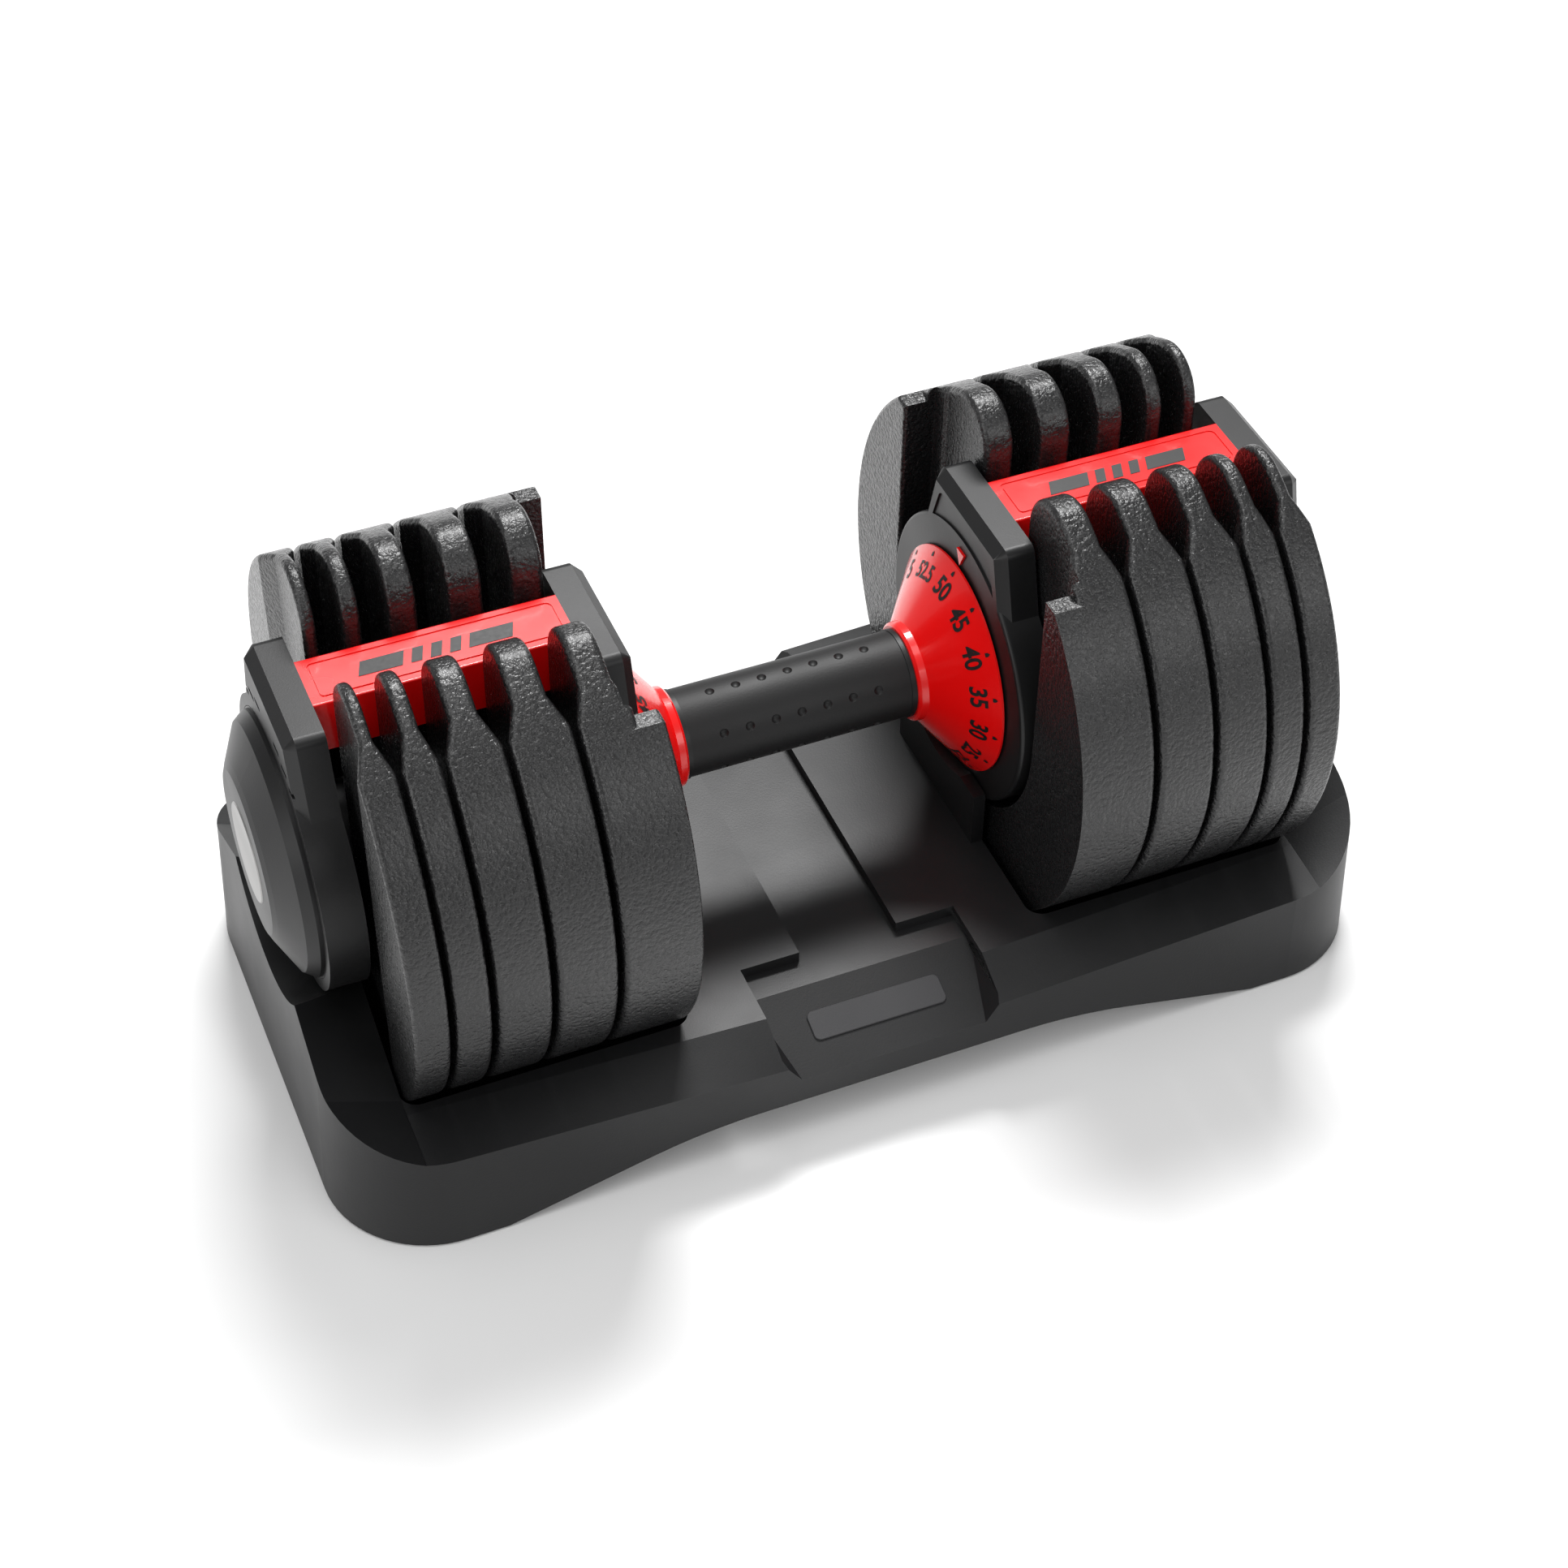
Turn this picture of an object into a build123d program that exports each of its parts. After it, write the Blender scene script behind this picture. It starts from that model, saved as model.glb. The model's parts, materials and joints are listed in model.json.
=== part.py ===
"""Adjustable dumbbell in its storage tray: twist-grip selector, ten cast plates, two end housings.

Frame: +Z up, +X along the handle, front towards -Y, origin on the ground below the handle's middle.
All sizes are in millimetres. Sketches across the handle use the handle axis as their own origin, so
their second coordinate is the height above the axis.
"""
import math
import os

from build123d import *

os.makedirs("parts", exist_ok=True)

# ---------------------------------------------------------------- handle and dials
AXIS_HEIGHT = 114.0          # handle axis above the ground
GRIP_RADIUS = 17.0
GRIP_LENGTH = 89.0
GRIP_WALL = 3.5
DIMPLE_ROWS = 6
DIMPLES_PER_ROW = 7
DIMPLE_PITCH = 10.4
DIMPLE_RADIUS = 2.3
DIMPLE_DEPTH = 0.9
END_RING_LENGTH = 2.0
HEX_ACROSS_FLATS = 16.0
HEX_CLEARANCE = 0.1
DIAL_COLLAR_RADIUS = 19.4
DIAL_COLLAR_LENGTH = 3.6
DIAL_RIM_RADIUS = 45.0
DIAL_DEPTH = 22.8
DIAL_WALL = 2.6

# ---------------------------------------------------------------- plates, 1 is the outermost
PLATE_RADIUS = 102.0
SLOT_HALF_WIDTH = 18.0       # the U slot between a plate's two horns
HORN_TIP_RADIUS = 17.0
PLATE_EDGE_RADIUS = {1: 2.0, 2: 2.2, 3: 2.2, 4: 2.2, 5: 2.4}
PLATE_RIM = {1: 13.0, 2: 13.0, 3: 19.8, 4: 22.0, 5: 20.0}
PLATE_WEB = {1: 5.0, 2: 6.5, 3: 10.4, 4: 12.6, 5: 12.0}
PLATE_POUNDS = {1: 1.25, 2: 2.5, 3: 5.0, 4: 7.5, 5: 7.5}
POCKET_PLATES = (1, 2)       # the light plates are hollowed on their inner side
POCKET_WALL = 5.0
POCKET_FLOOR = 3.5
PLATE_GAP = 2.2              # between the rims of neighbouring plates
WEB_HALF_WIDTH = 51.0        # the thin web ends here and ramps up
BODY_HALF_WIDTH = 61.0       # to the thick rim body, which starts here
FLANGE_DEPTH = 9.6           # inner flange of the innermost plate
FLANGE_CLEARANCE = 3.5       # that flange's cut-out around the housing drum
RELIEF_CLEARANCE = 0.8       # behind the housing, in the plate's ramp
FLANGE_TOP = 76.0            # its top ledge, above the axis
FLANGE_NOTCH_HALF_WIDTH = 14.0

# ---------------------------------------------------------------- end housings
HOUSING_CLEARANCE = 0.9      # between a dial's rim and its housing
HOUSING_DEPTH = 14.8
HOUSING_DRUM_RADIUS = 57.5
HOUSING_WALL = 2.5
HOUSING_ROUNDING = 4.0
OUTER_HOUSING_GAP = 1.6      # from the outermost plate to the outer housing
OUTER_HOUSING_DEPTH = 15.0
OUTER_DRUM_RADIUS = 55.5
OUTER_DRUM_WALL = 4.5
BLOCK_TOP = 72.2             # top of a housing's upper block, above the axis
BLOCK_TOP_HALF_WIDTH = 28.0
BLOCK_FOOT = 40.0
BLOCK_FOOT_HALF_WIDTH = 37.0
BLOCK_BEVEL = 4.0
PANEL_INSET = 6.5
PANEL_DEPTH = 0.8
BACK_PLATE_THICKNESS = 2.0
DOME_DEPTH = 13.5
DOME_WALL = 2.6
DOME_SPIGOT = 5.0
MEDALLION_RADIUS = 19.0
MEDALLION_THICKNESS = 1.4
POINTER_HEIGHT = 6.4
POINTER_WIDTH = 6.0
POINTER_THICKNESS = 1.0
POINTER_RIM_GAP = 1.4        # the pointer's tip stands this far outside the dial's rim

# ---------------------------------------------------------------- covers and beams over the plates
COVER_TOP_HALF_WIDTH = 12.2
COVER_FOOT_HALF_WIDTH = 16.8
COVER_HEIGHT = 17.2
COVER_WALL = 2.4
COVER_EDGE_RADIUS = 0.8
BORDER_INSET = 3.0
BORDER_WIDTH = 0.9
BORDER_DEPTH = 0.4
BEAM_HALF_WIDTH = 9.0
BEAM_HEIGHT = 9.0
BEAM_SOCKET_DEPTH = 8.0
BEAM_PIN_RADIUS = 2.5
COVER_SCREW_RADIUS = 2.0
COVER_SCREW_HEAD_RADIUS = 3.6
COVER_SCREW_HEAD = 2.4

# ---------------------------------------------------------------- selector and lock
SETTINGS = [5, 7.5, 10, 12.5, 15, 17.5, 20, 22.5, 25, 30, 35, 40, 45, 50, 52.5]
REST_SETTING = 50
HANDLE_POUNDS = 5
LUG_HALF_WIDTH = 5.0         # lifting lug on each plate, below the shaft
LUG_HEIGHT = 7.4
LUG_DEPTH = 3.0
LUG_CLEARANCE = 0.6          # lug to selector rim
SELECTOR_RIM_RADIUS = 42.0
SELECTOR_RIM_WALL = 4.0
SELECTOR_WEB = 2.6
AXIAL_CLEARANCE = 0.45
SPACER_CLEARANCE = 0.6       # between a spacer sleeve and the plates' slots
SIDE_CLEARANCE = 0.3
JOURNAL_RADIUS = 12.0
BUSH_CLEARANCE = 0.05
BUSH_WALL = 3.0
BUSH_LENGTH = 5.0
NUT_THREAD_RADIUS = 6.0
NUT_ACROSS_FLATS = 19.0
NUT_HEIGHT = 6.0
WASHER_THICKNESS = 1.5
LOCK_RING_BORE = 31.0
LOCK_RING_RADIUS = 37.0
LOCK_NOTCH_DEPTH = 4.0
LOCK_RING_WEB = 1.6
LOCK_TRAVEL = 4.5
LOCK_TOOTH_HALF_WIDTH = 1.9
LOCK_TOOTH_CLEARANCE = 0.5
LOCK_PIN_HALF_WIDTH = 4.0
LOCK_PIN_THICKNESS = 3.4
LOCK_SPRING_LENGTH = 5.0
LOCK_SPRING_RADIUS = 1.5
LOCK_WIRE_RADIUS = 0.3
LOCK_SPRING_TURNS = 3.5

# ---------------------------------------------------------------- tray
TRAY_LENGTH = 423.0
TRAY_WIDTH = 218.0
TRAY_CORNER_RADIUS = 42.0
TRAY_DRAFT = 3.0             # degrees
TRAY_WALL = 2.6
DECK_HEIGHT = 46.0
SKIRT_FOOT = 1.0             # the skirt stops just above the ground, on rubber feet
# how the top falls across the tray: (distance from the middle, height above the ground) pairs
DECK_AT_MIDDLE = ((90.0, 46.0), (112.0, 32.0))
DECK_AT_WELL_END = ((82.0, 46.0), (112.0, 43.5))
BLOCK_AT_WELL_END = (76.0, (75.0, 46.0), (112.0, 43.5))
BLOCK_AT_TRAY_END = (92.0, (75.0, 60.0), (112.0, 50.0))
APRON_ROUNDING = 5.0
WELL_FLOOR = 5.5
WELL_HALF_WIDTH = 79.0
WELL_CORNER_RADIUS = 7.0
PLATE_SEAT_CLEARANCE = 0.3
SEAT_WALL = 3.0
SEAT_HALF_WIDTH = 56.0
RIB_THICKNESS = 1.2
RIB_HEIGHT = 10.0
ARCH_HEIGHT = 18.5
ARCH_HALF_LENGTH = 158.0
ARCH_FLAT_HALF_LENGTH = 76.0
CRADLE_CLEARANCE = 2.0
SADDLE_HALF_WIDTH = 34.0
SADDLE_THICKNESS = 5.0
SADDLE_TOP = -43.0           # above the axis
SADDLE_ARC_CLEARANCE = 3.0
CHANNEL_HALF_WIDTH = 20.0
CHANNEL_DEPTH = 5.0
CHANNEL_HALF_LENGTH = 58.0
CHANNEL_DRAFT = -35.0        # degrees, the channel widens upwards
CHANNEL_FLARE = 44.0         # half the pocket's width where it opens out
POCKET_HALF_WIDTH = 35.0
POCKET_START = 62.0          # the front pocket's level floor begins here
POCKET_BEND = 74.0           # and starts to slope here
POCKET_FRONT_HEIGHT = 28.0   # its floor at the tray's front edge, above the ground
BADGE_LENGTH = 54.0
BADGE_WIDTH = 12.0
BADGE_THICKNESS = 0.8
FOOT_RADIUS = 9.0
FOOT_THICKNESS = 4.0
FOOT_X = 190.0
FOOT_Y = 88.0
FOOT_PAD_RADIUS = 10.0
FOOT_POST_RADIUS = 5.0
POST_HALF_WIDTH = 8.0
POST_GAP = 0.1               # under the lock pin when the dumbbell is docked
POST_THICKNESS = 4.0
POST_FOOT_LENGTH = 6.0
POST_ROOM = 14.5             # notch in the rack's inner end for the post
RACK_BOSS_RADIUS = 4.5
RACK_BOSS_HEIGHT = 14.5
RACK_SCREW_Y = 46.0
RACK_SCREW_INSET = 24.0
RACK_SCREW_RADIUS = 1.8
RACK_SCREW_LENGTH = 7.0
RACK_SCREW_HEAD_RADIUS = 3.4
RACK_SCREW_HEAD = 2.0

# ---------------------------------------------------------------- places along the handle
STEP_ANGLE = 360 / len(SETTINGS)
DIAL_START = GRIP_LENGTH / 2 + END_RING_LENGTH
DIAL_END = DIAL_START + DIAL_DEPTH
HOUSING_START = DIAL_END + HOUSING_CLEARANCE
HOUSING_END = HOUSING_START + HOUSING_DEPTH
CAVITY_START = HOUSING_START + HOUSING_WALL
BACK_PLATE_START = HOUSING_END - BACK_PLATE_THICKNESS
FLANGE_FACE = HOUSING_START + 2.9
RIM_START = {5: FLANGE_FACE + FLANGE_DEPTH}
for plate_number in (4, 3, 2, 1):
    inward = plate_number + 1
    RIM_START[plate_number] = RIM_START[inward] + PLATE_RIM[inward] + PLATE_GAP
RIM_END = {n: RIM_START[n] + PLATE_RIM[n] for n in RIM_START}
WEB_START = {n: RIM_START[n] + (PLATE_RIM[n] - PLATE_WEB[n]) / 2 for n in RIM_START}
WEB_END = {n: WEB_START[n] + PLATE_WEB[n] for n in RIM_START}
OUTER_START = RIM_END[1] + OUTER_HOUSING_GAP
OUTER_END = OUTER_START + OUTER_HOUSING_DEPTH
DOME_END = OUTER_END + DOME_DEPTH
SPACER_RADIUS = SLOT_HALF_WIDTH - SPACER_CLEARANCE
BUSH_BORE = JOURNAL_RADIUS + BUSH_CLEARANCE
BUSH_RADIUS = BUSH_BORE + BUSH_WALL
JOURNAL_END = OUTER_START + BUSH_LENGTH + 3.0
NUT_START = JOURNAL_END + WASHER_THICKNESS
SHAFT_END = NUT_START + NUT_HEIGHT + 1.2
SELECTOR_RIM_BORE = SELECTOR_RIM_RADIUS - SELECTOR_RIM_WALL
LUG_FOOT = SELECTOR_RIM_BORE - LUG_CLEARANCE
LOCK_RING_START = CAVITY_START + 0.5
LOCK_PIN_START = BACK_PLATE_START - 0.4 - LOCK_PIN_THICKNESS
LOCK_RING_END = LOCK_PIN_START - 0.5
PIN_TOP = -(LOCK_RING_BORE - LOCK_TOOTH_CLEARANCE) + 4.0
COVER_FOOT = BLOCK_TOP - COVER_HEIGHT
BEAM_TOP = BLOCK_TOP - COVER_WALL - 4.0
WELL_START = HOUSING_START - 0.7
WELL_END = OUTER_START - 0.2
SEAT_RADIUS = PLATE_RADIUS + PLATE_SEAT_CLEARANCE
POST_MIDDLE = LOCK_PIN_START + LOCK_PIN_THICKNESS / 2
RACK_SCREW_PLACES = [
    (x, y)
    for x in (WELL_START + RACK_SCREW_INSET, WELL_END - RACK_SCREW_INSET)
    for y in (-RACK_SCREW_Y, RACK_SCREW_Y)
]

STANDING = (Align.CENTER, Align.CENTER, Align.MIN)
HANDLE_AXIS = Axis((0, 0, AXIS_HEIGHT), (1, 0, 0))


def across(x):
    """Plane across the handle at x: first coordinate Y, second the height above the axis."""
    return Plane(origin=(x, 0, AXIS_HEIGHT), x_dir=(0, 1, 0), z_dir=(1, 0, 0))


def along():
    """Plane along the handle for turned profiles: X, then the radius."""
    return Plane(origin=(0, 0, AXIS_HEIGHT), x_dir=(1, 0, 0), z_dir=(0, -1, 0))


def publish(piece, name):
    piece.label = name
    export_step(piece, f"parts/{name}.step")


def publish_pair(piece, stem):
    """The right-hand piece as built, and its mirror image at the left end."""
    publish(piece, f"{stem}_right")
    publish(mirror(piece, about=Plane.YZ), f"{stem}_left")


def publish_turned_pair(piece, stem):
    """As a mirrored pair, for a piece whose front and back halves match: the left one is turned round."""
    publish(piece, f"{stem}_right")
    publish(Rot(0, 0, 180) * piece, f"{stem}_left")


def both_ends(piece):
    """A right-hand piece together with its mirror image, as one group."""
    return Compound(children=[*piece.solids(), *mirror(piece, about=Plane.YZ).solids()])


def tube(start, end, radius, bore, hexagonal=False):
    """A sleeve on the handle axis, with a round bore or one that fits the hexagon shaft."""
    with BuildPart() as sleeve:
        with BuildSketch(across(start)):
            Circle(radius)
            if hexagonal:
                RegularPolygon(bore, 6, major_radius=False, mode=Mode.SUBTRACT)
            else:
                Circle(bore, mode=Mode.SUBTRACT)
        extrude(amount=end - start)
    return sleeve.part


def hex_sleeve(start, end, radius):
    return tube(start, end, radius, HEX_ACROSS_FLATS / 2 + HEX_CLEARANCE, hexagonal=True)


# ---------------------------------------------------------------- plates
def section_of_plate(number):
    """Plan section: a thin web across the middle, ramping up to the thick rim body at both sides."""
    edge = PLATE_RADIUS + 1
    low = [
        (RIM_START[number], edge),
        (RIM_START[number], BODY_HALF_WIDTH),
        (WEB_START[number], WEB_HALF_WIDTH),
    ]
    high = [
        (RIM_END[number], -edge),
        (RIM_END[number], -BODY_HALF_WIDTH),
        (WEB_END[number], -WEB_HALF_WIDTH),
    ]
    return low + [(x, -y) for x, y in reversed(low)] + high + [(x, -y) for x, y in reversed(high)]


def horn_tip_centre():
    """Centre of a horn's rounded tip, which touches the slot wall and the rim circle from inside."""
    y = SLOT_HALF_WIDTH + HORN_TIP_RADIUS
    return y, math.sqrt((PLATE_RADIUS - HORN_TIP_RADIUS) ** 2 - y ** 2)


def plate_edges(cast):
    """The edges that run round both faces of a plate: rim, horn tips and slot."""
    tip_y, tip_z = horn_tip_centre()
    chosen = []
    for edge in cast.edges():
        if abs(edge.tangent_at(0.5).X) > 0.99:
            continue
        middle = edge.position_at(0.5)
        side, height = abs(middle.Y), middle.Z - AXIS_HEIGHT
        on_rim = abs(math.hypot(side, height) - PLATE_RADIUS) < 0.2
        on_tip = abs(math.hypot(side - tip_y, height - tip_z) - HORN_TIP_RADIUS) < 0.2
        on_slot = abs(side - SLOT_HALF_WIDTH) < 0.2
        if on_rim or on_tip or on_slot:
            chosen.append(edge)
    return chosen


def cast_plate(number):
    """One C-shaped plate with its lifting lug, which a selector disc catches from below."""
    tip_y, tip_z = horn_tip_centre()
    rim_angle = math.atan2(tip_z, tip_y)
    tip_turn = (math.pi + rim_angle) / 2
    tip_middle = (
        tip_y + HORN_TIP_RADIUS * math.cos(tip_turn),
        tip_z + HORN_TIP_RADIUS * math.sin(tip_turn),
    )
    rim_point = (PLATE_RADIUS * math.cos(rim_angle), PLATE_RADIUS * math.sin(rim_angle))
    with BuildPart() as cast:
        with BuildSketch(Plane.XY.offset(AXIS_HEIGHT - PLATE_RADIUS - 1)):
            with BuildLine():
                Polyline(*section_of_plate(number), close=True)
            make_face()
        extrude(amount=2 * PLATE_RADIUS + 2)
        with BuildSketch(across(RIM_START[number] - 1)):
            with BuildLine():
                Line((0, -SLOT_HALF_WIDTH), (0, -PLATE_RADIUS))
                CenterArc((0, 0), SLOT_HALF_WIDTH, -90, 90)
                Line((SLOT_HALF_WIDTH, 0), (SLOT_HALF_WIDTH, tip_z))
                ThreePointArc((SLOT_HALF_WIDTH, tip_z), tip_middle, rim_point)
                CenterArc((0, 0), PLATE_RADIUS, -90, 90 + math.degrees(rim_angle))
            make_face()
            mirror(about=Plane.YZ)
        extrude(amount=PLATE_RIM[number] + 2, mode=Mode.INTERSECT)
        fillet(plate_edges(cast), radius=PLATE_EDGE_RADIUS[number])
        lug_start = WEB_START[number] - LUG_DEPTH if number == 1 else WEB_END[number]
        with BuildSketch(across(lug_start)):
            with Locations((0, LUG_HEIGHT / 2 - LUG_FOOT)):
                Rectangle(2 * LUG_HALF_WIDTH, LUG_HEIGHT)
        extrude(amount=LUG_DEPTH)
        if number in POCKET_PLATES:
            with BuildSketch(across(RIM_START[number])):
                Circle(PLATE_RADIUS - POCKET_WALL)
                with Locations((0, 0)):
                    Rectangle(2 * (BODY_HALF_WIDTH + POCKET_WALL), 3 * PLATE_RADIUS, mode=Mode.SUBTRACT)
            extrude(amount=PLATE_RIM[number] - POCKET_FLOOR, mode=Mode.SUBTRACT)
        if number == 5:
            add(housing_relief(), mode=Mode.SUBTRACT)
            add(inner_flange())
    return cast.part


def housing_relief():
    """Room in the innermost plate's ramp for the housing drum, open upwards."""
    reach = HOUSING_DRUM_RADIUS + FLANGE_CLEARANCE
    with BuildPart() as relief:
        with BuildSketch(across(RIM_START[5] - 1)):
            Circle(reach)
            with Locations((0, PLATE_RADIUS / 2)):
                Rectangle(2 * reach, PLATE_RADIUS)
        extrude(amount=HOUSING_END + RELIEF_CLEARANCE - RIM_START[5] + 1)
    return relief.part


def inner_flange():
    """The innermost plate's flange: it stands round the housing and ends in a ledge at each side."""
    cutout = HOUSING_DRUM_RADIUS + FLANGE_CLEARANCE
    with BuildPart() as flange:
        with BuildSketch(across(FLANGE_FACE)):
            Circle(PLATE_RADIUS)
            Circle(cutout, mode=Mode.SUBTRACT)
            with Locations((0, PLATE_RADIUS / 2)):
                Rectangle(2 * cutout, PLATE_RADIUS + 1, mode=Mode.SUBTRACT)
            with Locations((0, FLANGE_TOP + PLATE_RADIUS / 2)):
                Rectangle(3 * PLATE_RADIUS, PLATE_RADIUS, mode=Mode.SUBTRACT)
            with Locations((0, -PLATE_RADIUS)):
                Rectangle(2 * FLANGE_NOTCH_HALF_WIDTH, PLATE_RADIUS, mode=Mode.SUBTRACT)
        extrude(amount=WEB_START[5] - FLANGE_FACE)
        face_edges = flange.faces().sort_by(Axis.X)[0].edges()
        fillet(face_edges, radius=1.6)
    return flange.part


for plate_number in sorted(PLATE_RIM):
    publish_turned_pair(cast_plate(plate_number), f"plate_{plate_number}")


# ---------------------------------------------------------------- grip, shaft and dials
def dimple_rows():
    """Places of the shallow dimples: even rows round the grip."""
    sink = DIMPLE_RADIUS - DIMPLE_DEPTH
    for row in range(DIMPLE_ROWS):
        turn = math.radians(90 + row * 360 / DIMPLE_ROWS)
        for column in range(DIMPLES_PER_ROW):
            x = (column - (DIMPLES_PER_ROW - 1) / 2) * DIMPLE_PITCH
            reach = GRIP_RADIUS + sink
            yield x, reach * math.cos(turn), AXIS_HEIGHT + reach * math.sin(turn)


with BuildPart() as grip_sleeve:
    add(tube(-GRIP_LENGTH / 2, GRIP_LENGTH / 2, GRIP_RADIUS, GRIP_RADIUS - GRIP_WALL))
    with Locations(*dimple_rows()):
        Sphere(DIMPLE_RADIUS, mode=Mode.SUBTRACT)
publish(grip_sleeve.part, "grip_sleeve")

grip_core = hex_sleeve(-DIAL_START, DIAL_START, GRIP_RADIUS - GRIP_WALL)
publish(grip_core, "grip_core")

end_ring = tube(GRIP_LENGTH / 2, DIAL_START, GRIP_RADIUS + 0.4, GRIP_RADIUS - GRIP_WALL)
publish(both_ends(end_ring), "grip_end_rings")

with BuildPart() as hex_shaft:
    with BuildSketch(across(-JOURNAL_END)):
        RegularPolygon(HEX_ACROSS_FLATS / 2, 6, major_radius=False)
    extrude(amount=2 * JOURNAL_END)
    with BuildSketch(across(-SHAFT_END)):
        Circle(NUT_THREAD_RADIUS)
    extrude(amount=2 * SHAFT_END)
    chamfer(hex_shaft.edges().filter_by(GeomType.CIRCLE).sort_by(Axis.X)[-1], 1)
    chamfer(hex_shaft.edges().filter_by(GeomType.CIRCLE).sort_by(Axis.X)[0], 1)
publish(hex_shaft.part, "hex_shaft")

with BuildPart() as weight_dial:
    with BuildSketch(along()):
        with BuildLine():
            Polyline(
                (DIAL_START, GRIP_RADIUS - 4.5),
                (DIAL_START, DIAL_COLLAR_RADIUS - 1),
                (DIAL_START + 1, DIAL_COLLAR_RADIUS),
                (DIAL_START + DIAL_COLLAR_LENGTH, DIAL_COLLAR_RADIUS + 0.4),
                (DIAL_END - 0.8, DIAL_RIM_RADIUS),
                (DIAL_END, DIAL_RIM_RADIUS),
                (DIAL_END, DIAL_RIM_RADIUS - DIAL_WALL),
                (DIAL_START + DIAL_COLLAR_LENGTH + 3, DIAL_COLLAR_RADIUS - 0.6),
                (DIAL_START + DIAL_COLLAR_LENGTH + 3, GRIP_RADIUS - 2.5),
                (LOCK_RING_START, GRIP_RADIUS - 2.5),
                (LOCK_RING_START, GRIP_RADIUS - 4.5),
                close=True,
            )
        make_face()
    revolve(axis=HANDLE_AXIS)
    add(hex_sleeve(DIAL_START, LOCK_RING_START, GRIP_RADIUS - 4))
publish_pair(weight_dial.part, "weight_dial")


# ---------------------------------------------------------------- selector discs and spacers
def chosen_plates(setting):
    """Plates that a setting lifts on each side: the heaviest that still fit, from the inside out."""
    left_over = (setting - HANDLE_POUNDS) / 2
    chosen = set()
    for number in sorted(PLATE_POUNDS, reverse=True):
        if PLATE_POUNDS[number] <= left_over:
            chosen.add(number)
            left_over -= PLATE_POUNDS[number]
    return chosen


def selector_rim(number, start, end):
    """Rim segments that pass under a plate's lug at every setting that lifts the plate."""
    rest_index = SETTINGS.index(REST_SETTING)
    sectors = []
    for index, setting in enumerate(SETTINGS):
        if number in chosen_plates(setting):
            sectors.append(-90 + (rest_index - index) * STEP_ANGLE)
    with BuildPart() as rim:
        with BuildSketch(across(start)):
            for middle in sectors:
                with BuildLine():
                    low, high = middle - STEP_ANGLE / 2, middle + STEP_ANGLE / 2
                    inner = CenterArc((0, 0), SELECTOR_RIM_BORE, low, STEP_ANGLE)
                    outer = CenterArc((0, 0), SELECTOR_RIM_RADIUS, low, STEP_ANGLE)
                    Line(inner @ 0, outer @ 0)
                    Line(inner @ 1, outer @ 1)
                make_face()
        extrude(amount=end - start)
    return rim.part


def selector_disc(number):
    """Disc outside plate number's web. The outermost disc also carries plate 1, on its far side."""
    rim_start = WEB_END[number] + SIDE_CLEARANCE
    web_start = WEB_END[number] + LUG_DEPTH + AXIAL_CLEARANCE
    neighbour = WEB_START[number - 1]
    serves_both = number == 2
    web_end = neighbour - LUG_DEPTH - AXIAL_CLEARANCE if serves_both else web_start + SELECTOR_WEB
    with BuildPart() as disc:
        add(hex_sleeve(rim_start, neighbour - SIDE_CLEARANCE, SPACER_RADIUS))
        add(tube(web_start, web_end, SELECTOR_RIM_RADIUS, SPACER_RADIUS - 2))
        add(selector_rim(number, rim_start, web_start))
        if serves_both:
            add(selector_rim(number - 1, web_end, neighbour - SIDE_CLEARANCE))
    return disc.part


for plate_number in (5, 4, 3, 2):
    publish_pair(selector_disc(plate_number), f"selector_disc_{plate_number}")

web_spacers = [
    hex_sleeve(WEB_START[n] - SIDE_CLEARANCE, WEB_END[n] + SIDE_CLEARANCE, SPACER_RADIUS)
    for n in (5, 4, 3, 2)
]
inner_journal = hex_sleeve(LOCK_RING_END, WEB_START[5] - SIDE_CLEARANCE, JOURNAL_RADIUS)
with BuildPart() as outer_journal:
    add(hex_sleeve(WEB_START[1] - SIDE_CLEARANCE, JOURNAL_END, JOURNAL_RADIUS))
    add(hex_sleeve(WEB_START[1] - SIDE_CLEARANCE, WEB_END[1] + SIDE_CLEARANCE, SPACER_RADIUS))
right_sleeves = Compound(children=[inner_journal, *web_spacers, outer_journal.part])
publish_pair(right_sleeves, "spacer_sleeves")

washer = tube(JOURNAL_END, NUT_START, JOURNAL_RADIUS, NUT_THREAD_RADIUS)
with BuildPart() as end_nut:
    with BuildSketch(across(NUT_START)):
        RegularPolygon(NUT_ACROSS_FLATS / 2, 6, major_radius=False)
        Circle(NUT_THREAD_RADIUS, mode=Mode.SUBTRACT)
    extrude(amount=NUT_HEIGHT)
end_fixings = Compound(children=[washer, end_nut.part])
publish(both_ends(end_fixings), "shaft_nuts_and_washers")

# ---------------------------------------------------------------- lock ring, pin and spring
with BuildPart() as lock_ring:
    add(tube(LOCK_RING_START, LOCK_RING_START + LOCK_RING_WEB, LOCK_RING_RADIUS, JOURNAL_RADIUS))
    add(hex_sleeve(LOCK_RING_START, LOCK_RING_END, JOURNAL_RADIUS + 2))
    add(tube(LOCK_RING_START, LOCK_RING_END, LOCK_RING_RADIUS, LOCK_RING_BORE))
    with BuildSketch(across(LOCK_RING_START + LOCK_RING_WEB)):
        with PolarLocations(LOCK_RING_BORE, len(SETTINGS), start_angle=-90):
            Rectangle(
                2 * LOCK_NOTCH_DEPTH,
                2 * (LOCK_TOOTH_HALF_WIDTH + LOCK_TOOTH_CLEARANCE),
            )
    extrude(amount=LOCK_RING_END, mode=Mode.SUBTRACT)
publish_pair(lock_ring.part, "lock_ring")

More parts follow.
